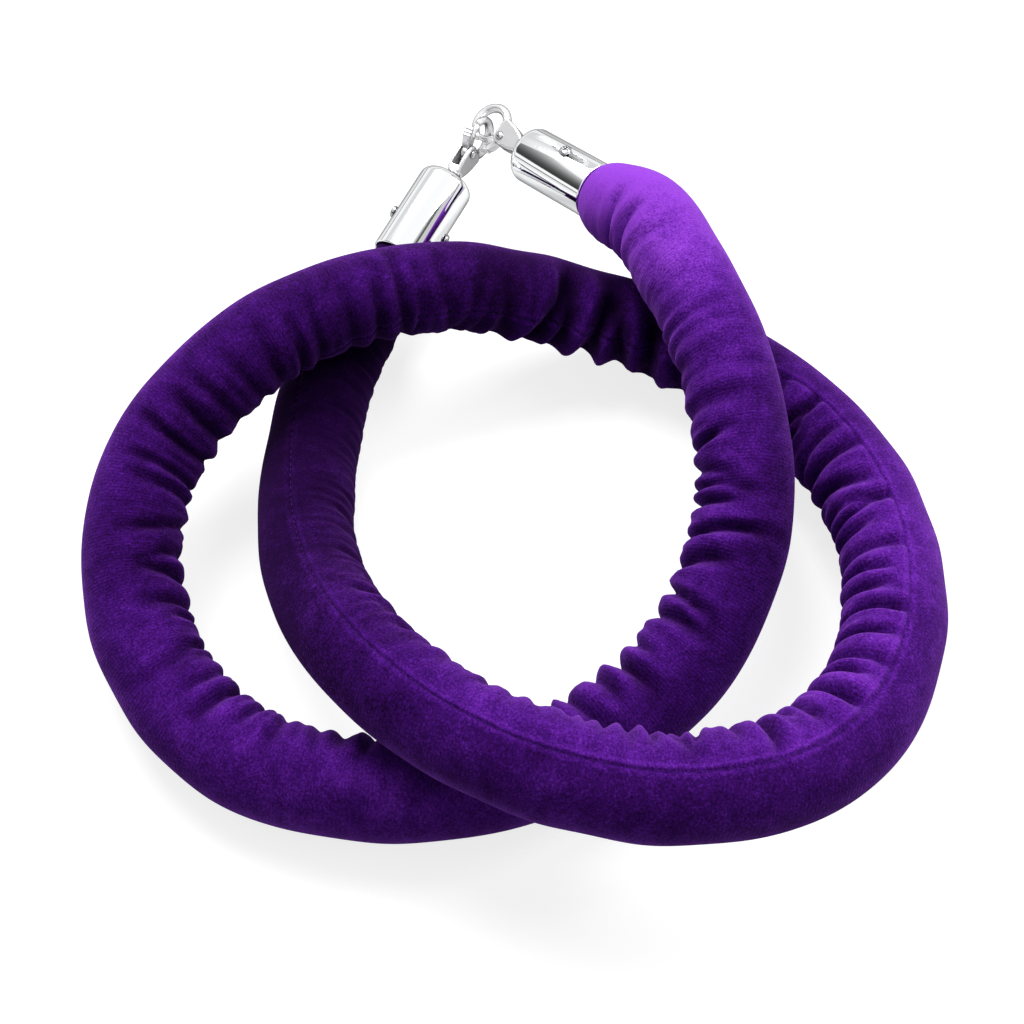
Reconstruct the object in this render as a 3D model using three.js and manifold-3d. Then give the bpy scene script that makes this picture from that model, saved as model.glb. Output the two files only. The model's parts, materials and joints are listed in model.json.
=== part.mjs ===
// A velvet barrier rope, lying coiled with its two snap hooks clipped into each other.
// Millimetres, +Z up. The origin is under the middle of the coil, on the floor.
import * as THREE from "three";
import { mergeVertices } from "three/addons/utils/BufferGeometryUtils.js";
import Module from "manifold-3d";

const wasm = await Module();
wasm.setup();

// ---- Driving dimensions ----

const ROPE_RADIUS = 19;
const COVER_INNER_RADIUS = 17.4;
const CORE_RADIUS = 16.4;
const CORE_BORE_RADIUS = 5;
const CORD_RADIUS = 3;
const RING_SPACING = 28; // between cross-sections along the rope
const LEAST_SPACING = 1; // closer cross-sections than this are left out
const FLOOR = 1.4; // the soft rope is pressed flat below this height
const COIL_SPAN = 500; // more than the coil measures across

const NECK_RADIUS = 10.8; // the cover where it is tucked into a cap
const NECK_LENGTH = 26; // how far it is tucked in
const SHOULDER_LENGTH = 24; // over which the rope swells to its full size
const NECK_EXIT = 0.4; // where the swelling starts, just outside the cap
const CORE_START = 3; // the foam begins this far outside the cap
const CORD_START = -15; // the cord begins this far inside the plug's socket
const SHOULDER_SECTIONS = [1.5, 6.5, 13]; // more cross-sections, this far outside a cap

const CAP_LENGTH = 44;
const CAP_RADIUS = 12.3;
const CAP_WALL = 1;
const CAP_TOP = 2;
const CAP_SHOULDER = 4.5;
const CAP_HOLE = 2.9; // for the hook's shank
const SCREW_DEPTH = 26; // from the cap's top to the screws
const SCREW_HOLE = 1.6;
const SCREW_SHANK = 1.2;
const SCREW_HEAD = 2.7;
const SCREW_HEAD_HEIGHT = 1.5;
const SCREW_TIP = 5.5; // the screw's point, from the cap's axis

const WASHER_RADIUS = 6;
const WASHER_THICKNESS = 1;

const PLUG_RADIUS = 9.2;
const PLUG_TOP = -10;
const PLUG_BOTTOM = -42;
const PLUG_SOCKET = 3.6;
const PLUG_SOCKET_DEPTH = 16;

const CLAW_STOCK = 2; // half the thickness of the hook's round claw
const CLAW_RADIUS = 8; // of the claw's centre line
const EYE = new THREE.Vector2(3, 26); // the eye's centre in the hook's plane
const CLAW_START = -78; // degrees round the eye, at the hook's body
const CLAW_TIP = 160; // degrees round the eye, at the open end
const SHANK_RADIUS = 2.2;
const PEENED_RADIUS = 3.8; // the shank's head inside the cap
const COLLAR_RADIUS = 4.4; // just outside the cap
const BODY_THICKNESS = 6.4;
const SLOT_WIDTH = 3.8;
const PIVOT = new THREE.Vector2(0, 15.5); // the gate's rivet
const RIVET_RADIUS = 1;
const RIVET_HOLE = 1.35;
const GATE_ROOT_THICKNESS = 2.6;
const GATE_STOCK = 1.35;
const GATE_RADIUS = 7.2; // a little inside the claw, so that its tip swings clear
const GATE_TIP = 174;

const SPRING_X = 1.9; // from the hook's axis
const SPRING_RADIUS = 1.1;
const SPRING_WIRE_RADIUS = 0.28;
const SPRING_TURNS = 3.5;
const SPRING_HEIGHTS = [7.3, 10.5];

const FOLD_ANGLE = 30; // degrees that each side of the coil can be lifted
const LEFT_FOLD_X = -109;
const RIGHT_FOLD_X = 112;
const FOLD_GAP = 0.4; // half the clearance between stretches at a fold
const GAP = 0.3;

// The caps: where the mouth's centre is, which way the cap points (as angles from +X and up), and
// how far it and then its hook are turned about the cap's axis.
const RIGHT_END = { mouth: [36, 138, 57], turn: 133, rise: -10, spin: 0, roll: 150 };
const LEFT_END = { mouth: [-49, 126, 29], turn: 60, rise: 14, spin: -75, roll: 340 };
const STRAIGHT = 29; // the rope leaves each cap straight for about this far

// The rope's centre line between those straight ends, from the right cap round to the left one,
// over and under itself.
const CENTRE_LINE = [
  [70, 82, 63],
  [82, 44, 60],
  [87, -17, 44],
  [63, -71, 27],
  [14, -107, 20],
  [-46, -118, 20],
  [-103, -101, 20],
  [-139, -52, 26],
  [-139, 8, 40],
  [-96, 56, 58],
  [-34, 87, 54],
  [32, 97, 29],
  [95, 71, 20],
  [136, 13, 25],
  [140, -58, 36],
  [110, -115, 48],
  [55, -136, 60],
  [-4, -122, 61],
  [-52, -82, 52],
  [-77, -27, 31],
  [-80, 37, 20],
  [-72, 82, 20],
];

const degrees = THREE.MathUtils.degToRad;

// ---- Materials ----

const finish = (color, roughness, metalness) => () =>
  new THREE.MeshStandardMaterial({ color, roughness, metalness });
const VELVET = finish(0x3e1369, 0.9, 0);
const FOAM = finish(0xe9e4da, 0.95, 0);
const CORD = finish(0xcfc8b8, 0.85, 0);
const CHROME = finish(0xe6e8ea, 0.08, 1);
const SPRING_STEEL = finish(0x9a9690, 0.3, 1);
const WOOD = finish(0xb98d5c, 0.7, 0);

// ---- Joining and cutting ----

function solidOf(geometry) {
  const bare = geometry.clone();
  bare.deleteAttribute("normal");
  bare.deleteAttribute("uv");
  const merged = mergeVertices(bare, 1e-4);
  return new wasm.Manifold(
    new wasm.Mesh({
      numProp: 3,
      vertProperties: merged.attributes.position.array,
      triVerts: new Uint32Array(merged.index.array),
    }),
  );
}

function geometryOf(solid) {
  const mesh = solid.getMesh();
  const indexed = new THREE.BufferGeometry();
  const positions = new Float32Array(mesh.vertProperties);
  indexed.setAttribute("position", new THREE.BufferAttribute(positions, 3));
  indexed.setIndex(new THREE.BufferAttribute(new Uint32Array(mesh.triVerts), 1));
  const geometry = indexed.toNonIndexed();
  geometry.computeVertexNormals();
  return geometry;
}

const joined = (first, ...rest) =>
  geometryOf(rest.reduce((solid, part) => solid.add(solidOf(part)), solidOf(first)));
const cut = (first, ...tools) =>
  geometryOf(tools.reduce((solid, tool) => solid.subtract(solidOf(tool)), solidOf(first)));

function named(name, geometry, material) {
  const mesh = new THREE.Mesh(geometry, material());
  mesh.name = name;
  return mesh;
}

// ---- Basic shapes, all along +Z ----

// A profile of [radius, height] pairs turned about +Z. The profile runs anticlockwise.
function turned(profile, segments) {
  const points = profile.map(([radius, height]) => new THREE.Vector2(radius, height));
  return new THREE.LatheGeometry(points, segments).rotateX(Math.PI / 2);
}

const rod = (radius, low, high, segments = 12) =>
  turned([[0, low], [radius, low], [radius, high], [0, high]], segments);

// A plate in the hook's plane (local X and Z), centred on it.
function plate(shape, thickness, curveSegments = 6) {
  const geometry = new THREE.ExtrudeGeometry(shape, {
    depth: thickness,
    bevelEnabled: false,
    curveSegments,
  });
  return geometry.translate(0, 0, -thickness / 2).rotateX(Math.PI / 2);
}

const acrossPlane = (radius, length, at, segments = 12) =>
  rod(radius, -length / 2, length / 2, segments)
    .rotateX(Math.PI / 2)
    .translate(at.x, 0, at.y);

// ---- Where the caps are ----

// A cap's axis, and its frame: +Z out of the cap, origin at the middle of its top, and +X level
// unless the cap is spun.
function capFrame({ mouth, turn, rise, spin }) {
  const [across, up] = [degrees(turn), degrees(rise)];
  const flat = Math.cos(up);
  const axis = new THREE.Vector3(flat * Math.cos(across), flat * Math.sin(across), Math.sin(up));
  const level = new THREE.Vector3(0, 0, 1).cross(axis).normalize();
  const above = new THREE.Vector3().crossVectors(axis, level);
  const top = new THREE.Vector3(...mouth).addScaledVector(axis, CAP_LENGTH);
  const frame = new THREE.Matrix4().makeBasis(level, above, axis).setPosition(top);
  return { axis, frame: frame.multiply(new THREE.Matrix4().makeRotationZ(degrees(spin))) };
}

// The clearance for both screws, straight through a cap, its plug and the velvet between them.
const screwBore = () =>
  acrossPlane(SCREW_HOLE, 4 * CAP_RADIUS, new THREE.Vector2(0, -SCREW_DEPTH), 10);
const screwHole = (end) => screwBore().applyMatrix4(capFrame(end).frame);

// ---- The rope's centre line ----

const outOfCap = (end) => {
  const mouth = new THREE.Vector3(...end.mouth);
  return [mouth, mouth.clone().addScaledVector(capFrame(end).axis, -STRAIGHT)];
};
const line = new THREE.CatmullRomCurve3(
  [
    ...outOfCap(RIGHT_END),
    ...CENTRE_LINE.map((point) => new THREE.Vector3(...point)),
    ...outOfCap(LEFT_END).reverse(),
  ],
  false,
  "centripetal",
);
line.arcLengthDivisions = 2000;
const ROPE_LENGTH = line.getLength();

// The point at a distance along the rope. Beyond either end it runs on straight, into the cap.
function pointAlong(distance) {
  const inside = THREE.MathUtils.clamp(distance, 0, ROPE_LENGTH);
  const point = line.getPointAt(inside / ROPE_LENGTH);
  const end = inside === distance ? null : capFrame(inside === 0 ? RIGHT_END : LEFT_END);
  return end ? point.addScaledVector(end.axis, Math.abs(distance - inside)) : point;
}

// A run of the centre line with a cross-section at each of the given distances.
class Run extends THREE.Curve {
  constructor(stations) {
    super();
    this.stations = stations;
  }
  getUtoTmapping(u) {
    return u;
  }
  getPoint(t) {
    const place = t * (this.stations.length - 1);
    const index = Math.min(Math.floor(place), this.stations.length - 2);
    const [a, b] = this.stations.slice(index, index + 2);
    return pointAlong(THREE.MathUtils.lerp(a, b, place - index));
  }
}

// How far along the rope its centre line crosses a plane of constant X, between two distances.
function crossing(x, from, to) {
  const side = (distance) => Math.sign(pointAlong(distance).x - x);
  const start = side(from);
  let [low, high] = [from, to];
  for (let i = 0; i < 40; i++) {
    const middle = (low + high) / 2;
    if (side(middle) === start) low = middle;
    else high = middle;
  }
  return low;
}

// The rope's outer radius near a cap, at a distance outside the cap's mouth.
function shoulderRadius(outside) {
  const share = THREE.MathUtils.clamp((outside - NECK_EXIT) / SHOULDER_LENGTH, 0, 1);
  const rise = Math.sqrt(1 - (1 - share) ** 2);
  return THREE.MathUtils.lerp(NECK_RADIUS, ROPE_RADIUS, rise);
}

const taper = (distance) =>
  shoulderRadius(Math.min(distance, ROPE_LENGTH - distance)) / ROPE_RADIUS;

// Distances of the cross-sections from one place on the rope to another, closer at a shoulder.
function stationsBetween(from, to) {
  const shoulderEnd = NECK_EXIT + SHOULDER_LENGTH;
  const near = [CORD_START, NECK_EXIT, CORE_START, ...SHOULDER_SECTIONS, shoulderEnd];
  const marks = [...near, ...near.map((distance) => ROPE_LENGTH - distance)];
  const inside = (distance) => distance > from + LEAST_SPACING && distance < to - LEAST_SPACING;
  const fixed = [from, ...marks.filter(inside), to];
  fixed.sort((a, b) => a - b);
  const stations = [from];
  for (let i = 1; i < fixed.length; i++) {
    const count = Math.ceil((fixed[i] - fixed[i - 1]) / RING_SPACING);
    for (let k = 1; k <= count; k++)
      stations.push(THREE.MathUtils.lerp(fixed[i - 1], fixed[i], k / count));
  }
  return stations;
}

// A tube or cord along the rope. Its section narrows with the rope at a cap unless it is plain.
function along(from, to, section, plain = false) {
  const stations = stationsBetween(from, to);
  const geometry = new THREE.ExtrudeGeometry(section, {
    steps: stations.length - 1,
    extrudePath: new Run(stations),
    bevelEnabled: false,
    curveSegments: 1,
  });
  if (plain) return geometry;
  const centres = stations.map(pointAlong);
  const position = geometry.attributes.position;
  const vertex = new THREE.Vector3();
  for (let i = 0; i < position.count; i++) {
    vertex.fromBufferAttribute(position, i);
    const gaps = centres.map((centre) => centre.distanceToSquared(vertex));
    const ring = gaps.indexOf(Math.min(...gaps));
    vertex.sub(centres[ring]).multiplyScalar(taper(stations[ring])).add(centres[ring]);
    position.setXYZ(i, vertex.x, vertex.y, vertex.z);
  }
  return geometry;
}

// A regular polygon, with a polygonal hole if an inner radius is given.
function section(radius, sides, innerRadius = 0, innerSides = 0) {
  const corners = (r, n) =>
    Array.from({ length: n }, (_, i) =>
      new THREE.Vector2(r, 0).rotateAround(new THREE.Vector2(), (i / n) * 2 * Math.PI),
    );
  const shape = new THREE.Shape(corners(radius, sides));
  if (innerRadius) shape.holes.push(new THREE.Path(corners(innerRadius, innerSides)));
  return shape;
}

// ---- Folds: a line through the rope's centre at the two places where a lobe leaves the coil ----

function fold(x, first, second, direction) {
  const [start, end] = [pointAlong(first), pointAlong(second)];
  const axis = end.clone().sub(start).normalize();
  if (axis.y * direction < 0) axis.negate();
  const up = new THREE.Vector3(0, 0, 1).addScaledVector(axis, -axis.z).normalize();
  const across = new THREE.Vector3().crossVectors(axis, up);
  const middle = start.clone().add(end).multiplyScalar(0.5);
  const frame = new THREE.Matrix4().makeBasis(across, axis, up).setPosition(middle);
  return { first, second, frame, length: start.distanceTo(end) };
}

// The clearance cut at a fold: a slit below the line and a V above it, which closes as it lifts.
function foldNotch({ frame, length }) {
  const reach = 2 * ROPE_RADIUS;
  const spread = FOLD_GAP + reach * Math.tan(degrees(FOLD_ANGLE / 2 + 0.5));
  const shape = new THREE.Shape([
    new THREE.Vector2(-FOLD_GAP, -reach),
    new THREE.Vector2(FOLD_GAP, -reach),
    new THREE.Vector2(FOLD_GAP, 0),
    new THREE.Vector2(spread, reach),
    new THREE.Vector2(-spread, reach),
    new THREE.Vector2(-FOLD_GAP, 0),
  ]);
  return plate(shape, length + 4 * ROPE_RADIUS).applyMatrix4(frame);
}

// Each lobe's fold crosses the rope twice, between these distances along it.
const LEFT_LOBE_SEARCH = [400, 500, 560, 640];
const RIGHT_LOBE_SEARCH = [800, 900, 980, 1080];
const foldAt = (x, [a, b, c, d], direction) =>
  fold(x, crossing(x, a, b), crossing(x, c, d), direction);
const leftFold = foldAt(LEFT_FOLD_X, LEFT_LOBE_SEARCH, 1);
const rightFold = foldAt(RIGHT_FOLD_X, RIGHT_LOBE_SEARCH, -1);

// ---- The rope: one velvet cover, foam core and cord, each in five stretches ----

const STRETCHES = [
  { name: "right_end", from: null, to: leftFold.first, notches: [leftFold] },
  { name: "left_lobe", from: leftFold.first, to: leftFold.second, notches: [leftFold] },
  { name: "top", from: leftFold.second, to: rightFold.first, notches: [leftFold, rightFold] },
  { name: "right_lobe", from: rightFold.first, to: rightFold.second, notches: [rightFold] },
  { name: "left_end", from: rightFold.second, to: null, notches: [rightFold] },
];

const OVERRUN = 2 * ROPE_RADIUS; // how far a stretch is drawn past a fold before it is trimmed

function layer(prefix, shape, material, endDistance, plain = false) {
  return STRETCHES.map(({ name, from, to, notches }) => {
    const start = from === null ? endDistance : from - OVERRUN;
    const stop = to === null ? ROPE_LENGTH - endDistance : to + OVERRUN;
    const tools = [...notches.map(foldNotch), belowFloor()];
    if (from !== null) tools.push(beyond(notches[0], from, -1));
    if (to !== null) tools.push(beyond(notches[notches.length - 1], to, 1));
    if (endDistance < 0 && !plain) {
      if (from === null) tools.push(screwHole(RIGHT_END));
      if (to === null) tools.push(screwHole(LEFT_END));
    }
    const whole = along(start, stop, shape, plain);
    return named(prefix + "_" + name, cut(whole, ...tools), material);
  });
}

const belowFloor = () =>
  new THREE.BoxGeometry(COIL_SPAN, COIL_SPAN, ROPE_RADIUS).translate(0, 0, FLOOR - ROPE_RADIUS / 2);

// A block that removes what a stretch has past a fold, on the side that the rope runs to.
function beyond(place, distance, sense) {
  const size = 6 * ROPE_RADIUS;
  const centre = pointAlong(distance);
  const local = centre.clone().applyMatrix4(place.frame.clone().invert());
  const ahead = pointAlong(distance + sense).applyMatrix4(place.frame.clone().invert());
  const side = Math.sign(ahead.x - local.x);
  return new THREE.BoxGeometry(size, size, size)
    .translate(local.x + (side * size) / 2, local.y, local.z)
    .applyMatrix4(place.frame);
}

const coverSection = section(ROPE_RADIUS, 20, COVER_INNER_RADIUS, 14);
const coreSection = section(CORE_RADIUS, 12, CORE_BORE_RADIUS, 6);
const rope = new THREE.Group();
rope.add(
  ...layer("velvet_cover", coverSection, VELVET, -NECK_LENGTH),
  ...layer("foam_core", coreSection, FOAM, CORE_START),
  ...layer("inner_cord", section(CORD_RADIUS, 6), CORD, CORD_START, true),
);

// ---- A rope end, in its own frame: +Z out of the cap, origin at the middle of the cap's top ----

function endCap() {
  const inner = CAP_RADIUS - CAP_WALL;
  const arc = (radius, centre, height) =>
    [0, 30, 60, 90].map((angle) => [
      centre + radius * Math.cos(degrees(angle)),
      height + radius * Math.sin(degrees(angle)),
    ]);
  const flat = CAP_RADIUS - CAP_SHOULDER;
  const profile = [
    [inner, -CAP_LENGTH],
    [CAP_RADIUS, -CAP_LENGTH],
    ...arc(CAP_SHOULDER, flat, -CAP_SHOULDER),
    [CAP_HOLE, 0],
    [CAP_HOLE, -CAP_TOP],
    ...arc(CAP_SHOULDER - CAP_TOP, inner - CAP_SHOULDER + CAP_TOP, -CAP_SHOULDER).reverse(),
    [inner, -CAP_LENGTH],
  ];
  return cut(turned(profile, 24), screwBore());
}

// A pan-head screw with a cross recess, through the cap's wall on one side of it.
function capScrew(side) {
  const seat = CAP_RADIUS + GAP;
  const crown = seat + SCREW_HEAD_HEIGHT;
  const profile = [
    [0, SCREW_TIP],
    [SCREW_SHANK * 0.4, SCREW_TIP],
    [SCREW_SHANK, SCREW_TIP + 1.2],
    [SCREW_SHANK, seat],
    [SCREW_HEAD, seat],
    [SCREW_HEAD, seat + 0.7],
    [SCREW_HEAD * 0.6, crown],
    [0, crown],
  ];
  const bar = (x, y) => new THREE.BoxGeometry(x, y, 1.6).translate(0, 0, crown);
  return cut(turned(profile, 12), bar(2.6, 0.7), bar(0.7, 2.6))
    .rotateX((-side * Math.PI) / 2)
    .translate(0, 0, -SCREW_DEPTH);
}

function endPlug() {
  const low = PLUG_BOTTOM;
  const socketEnd = low + PLUG_SOCKET_DEPTH;
  const profile = [
    [PLUG_SOCKET, low],
    [PLUG_RADIUS, low],
    [PLUG_RADIUS, PLUG_TOP - 1],
    [PLUG_RADIUS - 1, PLUG_TOP],
    [0, PLUG_TOP],
    [0, socketEnd],
    [PLUG_SOCKET, socketEnd],
    [PLUG_SOCKET, low],
  ];
  return cut(turned(profile, 20), screwBore());
}

function swivelWasher() {
  const high = -CAP_TOP - GAP;
  const low = high - WASHER_THICKNESS;
  const [inner, outer] = [CAP_HOLE, WASHER_RADIUS];
  return turned([[inner, low], [outer, low], [outer, high], [inner, high], [inner, low]], 16);
}

// The claw's or the gate's centre line, a circular arc about the eye in the hook's plane.
class EyeArc extends THREE.Curve {
  constructor(from, to, radius) {
    super();
    Object.assign(this, { from: degrees(from), to: degrees(to), radius });
  }
  getPoint(t) {
    const angle = THREE.MathUtils.lerp(this.from, this.to, t);
    const x = EYE.x + this.radius * Math.cos(angle);
    return new THREE.Vector3(x, 0, EYE.y + this.radius * Math.sin(angle));
  }
}

const eyeBar = (radius, from, to, stock, steps) =>
  new THREE.ExtrudeGeometry(section(stock, 10), {
    steps,
    extrudePath: new EyeArc(from, to, radius),
    bevelEnabled: false,
  });

// The hook: a shank peened over inside the cap, a slotted body for the gate, and a round claw.
function snapHook() {
  const shank = turned(
    [
      [0, -6],
      [PEENED_RADIUS - 0.4, -6],
      [PEENED_RADIUS, -5.2],
      [PEENED_RADIUS, -4],
      [SHANK_RADIUS, -3.8],
      [SHANK_RADIUS, 0.5],
      [COLLAR_RADIUS, 0.5],
      [COLLAR_RADIUS, 2],
      [3, 3],
      [3, 6],
      [0, 6],
    ],
    16,
  );
  const outline = new THREE.Shape();
  outline.moveTo(-2.6, 4);
  outline.lineTo(3.4, 4);
  outline.quadraticCurveTo(7, 8.5, 8.6, 17.6);
  outline.quadraticCurveTo(6.6, 20.4, 3.2, 19.2);
  outline.quadraticCurveTo(-2, 20.2, -3.4, 16.6);
  outline.quadraticCurveTo(-4.6, 10, -2.6, 4);
  const body = plate(outline, BODY_THICKNESS);
  const slotShape = new THREE.Shape([
    new THREE.Vector2(-8, 6.6),
    new THREE.Vector2(3.6, 6.6),
    new THREE.Vector2(4.6, 15),
    new THREE.Vector2(3, 22),
    new THREE.Vector2(-8, 22),
  ]);
  const whole = joined(shank, body, eyeBar(CLAW_RADIUS, CLAW_START, CLAW_TIP, CLAW_STOCK, 14));
  const slot = plate(slotShape, SLOT_WIDTH);
  return cut(whole, slot, acrossPlane(RIVET_HOLE, 2 * BODY_THICKNESS, PIVOT));
}

// The gate: an arm from the rivet up to the claw's tip, with a ribbed thumb lever outside it.
function gate() {
  const root = new THREE.Shape();
  root.absarc(PIVOT.x, PIVOT.y, 3, 0, 2 * Math.PI);
  const web = new THREE.Shape([
    new THREE.Vector2(-1.5, 13.1),
    new THREE.Vector2(1.2, 18.1),
    new THREE.Vector2(-3.4, 22.4),
    new THREE.Vector2(-5.2, 20.4),
  ]);
  const heel = new THREE.Shape([
    new THREE.Vector2(0.6, 12),
    new THREE.Vector2(3, 12),
    new THREE.Vector2(3, 15),
    new THREE.Vector2(0.6, 15),
  ]);
  const lever = new THREE.Shape();
  lever.moveTo(-2.2, 15.6);
  lever.quadraticCurveTo(-5.8, 15.8, -7.8, 18);
  lever.lineTo(-9.4, 22.8);
  lever.lineTo(-8.2, 23.4);
  lever.lineTo(-6.4, 20);
  lever.lineTo(-3.2, 18.6);
  const ribs = [0, 1, 2].map((i) =>
    new THREE.BoxGeometry(1, 4, 0.7).translate(-8.1 - 0.5 * i, 0, 19 + 1.5 * i),
  );
  const arm = eyeBar(GATE_RADIUS, 226, GATE_TIP, GATE_STOCK, 5);
  const flats = [web, heel].map((shape) => plate(shape, GATE_ROOT_THICKNESS));
  const parts = [...flats, plate(lever, 3.2, 4), arm, ...ribs];
  const whole = joined(plate(root, GATE_ROOT_THICKNESS, 8), ...parts);
  return cut(whole, acrossPlane(RIVET_HOLE, 2 * BODY_THICKNESS, PIVOT));
}

function gateRivet() {
  const face = BODY_THICKNESS / 2 + GAP;
  const half = [
    [RIVET_RADIUS, 0],
    [RIVET_RADIUS, face],
    [1.9, face],
    [1.5, face + 0.7],
    [0, face + 0.9],
  ];
  const mirrored = half.map(([radius, height]) => [radius, -height]).reverse();
  return turned([...mirrored, ...half.slice(1)], 10)
    .rotateX(Math.PI / 2)
    .translate(PIVOT.x, 0, PIVOT.y);
}

// A compression spring that stands in the slot, a little short of the gate's heel.
class Coil extends THREE.Curve {
  constructor(radius, turns, low, high) {
    super();
    Object.assign(this, { radius, turns, low, high });
  }
  getPoint(t) {
    const angle = 2 * Math.PI * this.turns * t;
    const height = THREE.MathUtils.lerp(this.low, this.high, t);
    return new THREE.Vector3(this.radius * Math.cos(angle), this.radius * Math.sin(angle), height);
  }
}

const gateSpring = () =>
  new THREE.ExtrudeGeometry(section(SPRING_WIRE_RADIUS, 5), {
    steps: 28,
    extrudePath: new Coil(SPRING_RADIUS, SPRING_TURNS, ...SPRING_HEIGHTS),
    bevelEnabled: false,
  }).translate(SPRING_X, 0, 0);

function ropeEnd(side, end) {
  const cap = new THREE.Group();
  cap.name = side + "_cap_frame";
  capFrame(end).frame.decompose(cap.position, cap.quaternion, cap.scale);
  cap.add(
    named(side + "_end_cap", endCap(), CHROME),
    named(side + "_cap_screw_upper", capScrew(1), CHROME),
    named(side + "_cap_screw_lower", capScrew(-1), CHROME),
    named(side + "_end_plug", endPlug(), WOOD),
    named(side + "_swivel_washer", swivelWasher(), SPRING_STEEL),
  );
  const hook = new THREE.Group();
  hook.name = side + "_hook_frame";
  hook.rotation.z = degrees(end.roll);
  hook.add(
    named(side + "_snap_hook", snapHook(), CHROME),
    named(side + "_gate", gate(), CHROME),
    named(side + "_gate_rivet", gateRivet(), CHROME),
    named(side + "_gate_spring", gateSpring(), SPRING_STEEL),
  );
  cap.add(hook);
  return cap;
}

const coil = new THREE.Group();
coil.add(rope, ropeEnd("right", RIGHT_END), ropeEnd("left", LEFT_END));

// Empty groups that mark the two fold lines, with the line along their own Y.
for (const [name, place] of [["left_fold_frame", leftFold], ["right_fold_frame", rightFold]]) {
  const marker = new THREE.Group();
  marker.name = name;
  place.frame.decompose(marker.position, marker.quaternion, marker.scale);
  coil.add(marker);
}

// Stand the coil on the floor with the middle of its footprint at the origin.
const box = new THREE.Box3().setFromObject(coil, true);
const middle = box.getCenter(new THREE.Vector3());
coil.position.set(-middle.x, -middle.y, -box.min.z);

const barrierRope = new THREE.Group();
barrierRope.add(coil);

export default barrierRope;
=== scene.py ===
"""The looks of a coiled velvet barrier rope, built around its CAD frame. Metres, +Z up.

The rope's and the metal pieces' constants are in millimetres, as in the CAD source, and MM turns them
into metres. The stage's constants are in metres.
"""

import json
import math

import bmesh
import bpy
import numpy as np
from mathutils import Matrix, Vector


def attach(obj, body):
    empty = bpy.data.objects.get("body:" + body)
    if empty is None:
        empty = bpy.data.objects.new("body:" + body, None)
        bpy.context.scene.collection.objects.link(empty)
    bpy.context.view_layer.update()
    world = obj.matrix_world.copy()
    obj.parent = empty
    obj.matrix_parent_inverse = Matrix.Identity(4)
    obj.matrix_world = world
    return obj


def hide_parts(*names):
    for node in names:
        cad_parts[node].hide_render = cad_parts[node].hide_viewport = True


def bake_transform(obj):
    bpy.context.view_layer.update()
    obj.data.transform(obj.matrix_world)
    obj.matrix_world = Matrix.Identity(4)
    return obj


MM = 0.001

# ---- Driving dimensions, in millimetres and degrees ----

ROPE_RADIUS = 19.0
COVER_THICKNESS = 1.6
CORE_RADIUS = 16.4
CORE_BORE_RADIUS = 5.0
CORD_RADIUS = 3.0
CORD_TWIST = 27.0  # the length of one turn of its strands
CORD_COLUMNS = 24
CORE_START = 3.0  # the foam begins this far outside a cap
CORD_START = 15.0  # the cord begins this far inside a cap

CAP_LENGTH = 44.0
CAP_RADIUS = 12.3
CAP_WALL = 1.0
CAP_HOLE = 2.9
CAP_SHOULDER = 4.5
SCREW_DEPTH = 26.0  # from the cap's top to its two screws
NECK_RADIUS = 10.8  # the cover where it is tucked into a cap
NECK_LENGTH = 26.0
NECK_EXIT = 0.4  # the cover begins to swell this far outside a cap
RIGHT_SHOULDER = 29.0  # over which the rope swells to its full size, quickly at the right cap
LEFT_SHOULDER = 40.0  # and slowly at the left one
CAP_SPIN = {"right": 0, "left": -75}  # degrees that each cap is turned about its axis
STRAIGHT_ENDS = (NECK_LENGTH + 2, NECK_LENGTH / 2, 0, -7, -14)  # places on a cap's axis, from its mouth
CAP_CLEARANCE = 20.0  # the path follows the CAD's cord from this far outside a cap

RING_STEP = 1.0  # between the cover's cross-sections
SEAM_COLUMNS = (0.55, 1.1, 1.8)  # distances of the grid lines beside the seam
PLAIN_COLUMNS = 84  # grid lines round the rest of the cover
STITCH_PITCH = 3.4
STITCH_LENGTH = 2.3
STITCH_RADIUS = 0.2
KNIT_PITCH = 1.25
SEAM_DEPTH = 0.27  # the seam's groove between its stitches
STITCH_PULL = 0.3  # and how much deeper it is at a stitch
WELT_HEIGHT = 0.28  # of the swelling on each side of the seam
RIPPLE_DEPTH = 0.13
LUMP_DEPTH = 0.2
PILE_CLEARANCE = 0.25  # the whole cover lies this far inside its plain shape
WELT_SHINE = 0.1  # a painted highlight: how much lighter the velvet is painted on the swelling beside the seam

CREASE_SPACING = 11.5
CREASE_DEPTH = 4.6
CREASE_WIDTH = 2.2
CREASE_END_GAP = 16.0  # from each cap to the nearest crease
CREASE_SPAN = 24.0  # nothing of a crease is left this far from its place
CREASE_DOWN = 80  # degrees that a crease reaches towards the floor
FULL_BEND = 11.0  # per metre: a bend this tight has creases of the plain depth

FLOOR_TOUCH = 0.3  # the soft cover is rounded off over this height above the floor

CLOTH_SCALE = 20.0  # the cloth is simulated this many times larger than life
CLOTH_STEP = 2.6  # between the cloth's rows
CLOTH_COLUMNS = 48
CLOTH_FRAMES = 16
CLOTH_LIMIT = 3.2  # no point moves further than this
CLOTH_HELD = 10.0  # the cloth is held fast this close to a cap
CLOTH_GAP = 0.02  # kept between the cloth and its padding, in the simulation's own metres
PADDING_INSET = 1.2
CLOTH_SLACK = 0.9  # how much of the extra length of a bend's outside the cloth has all round
CLOTH_START = 0.7  # the share of the creases that the cloth starts with
CRISP_SHARE = 0.6  # the share of the creases pressed in again after the simulation
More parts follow.
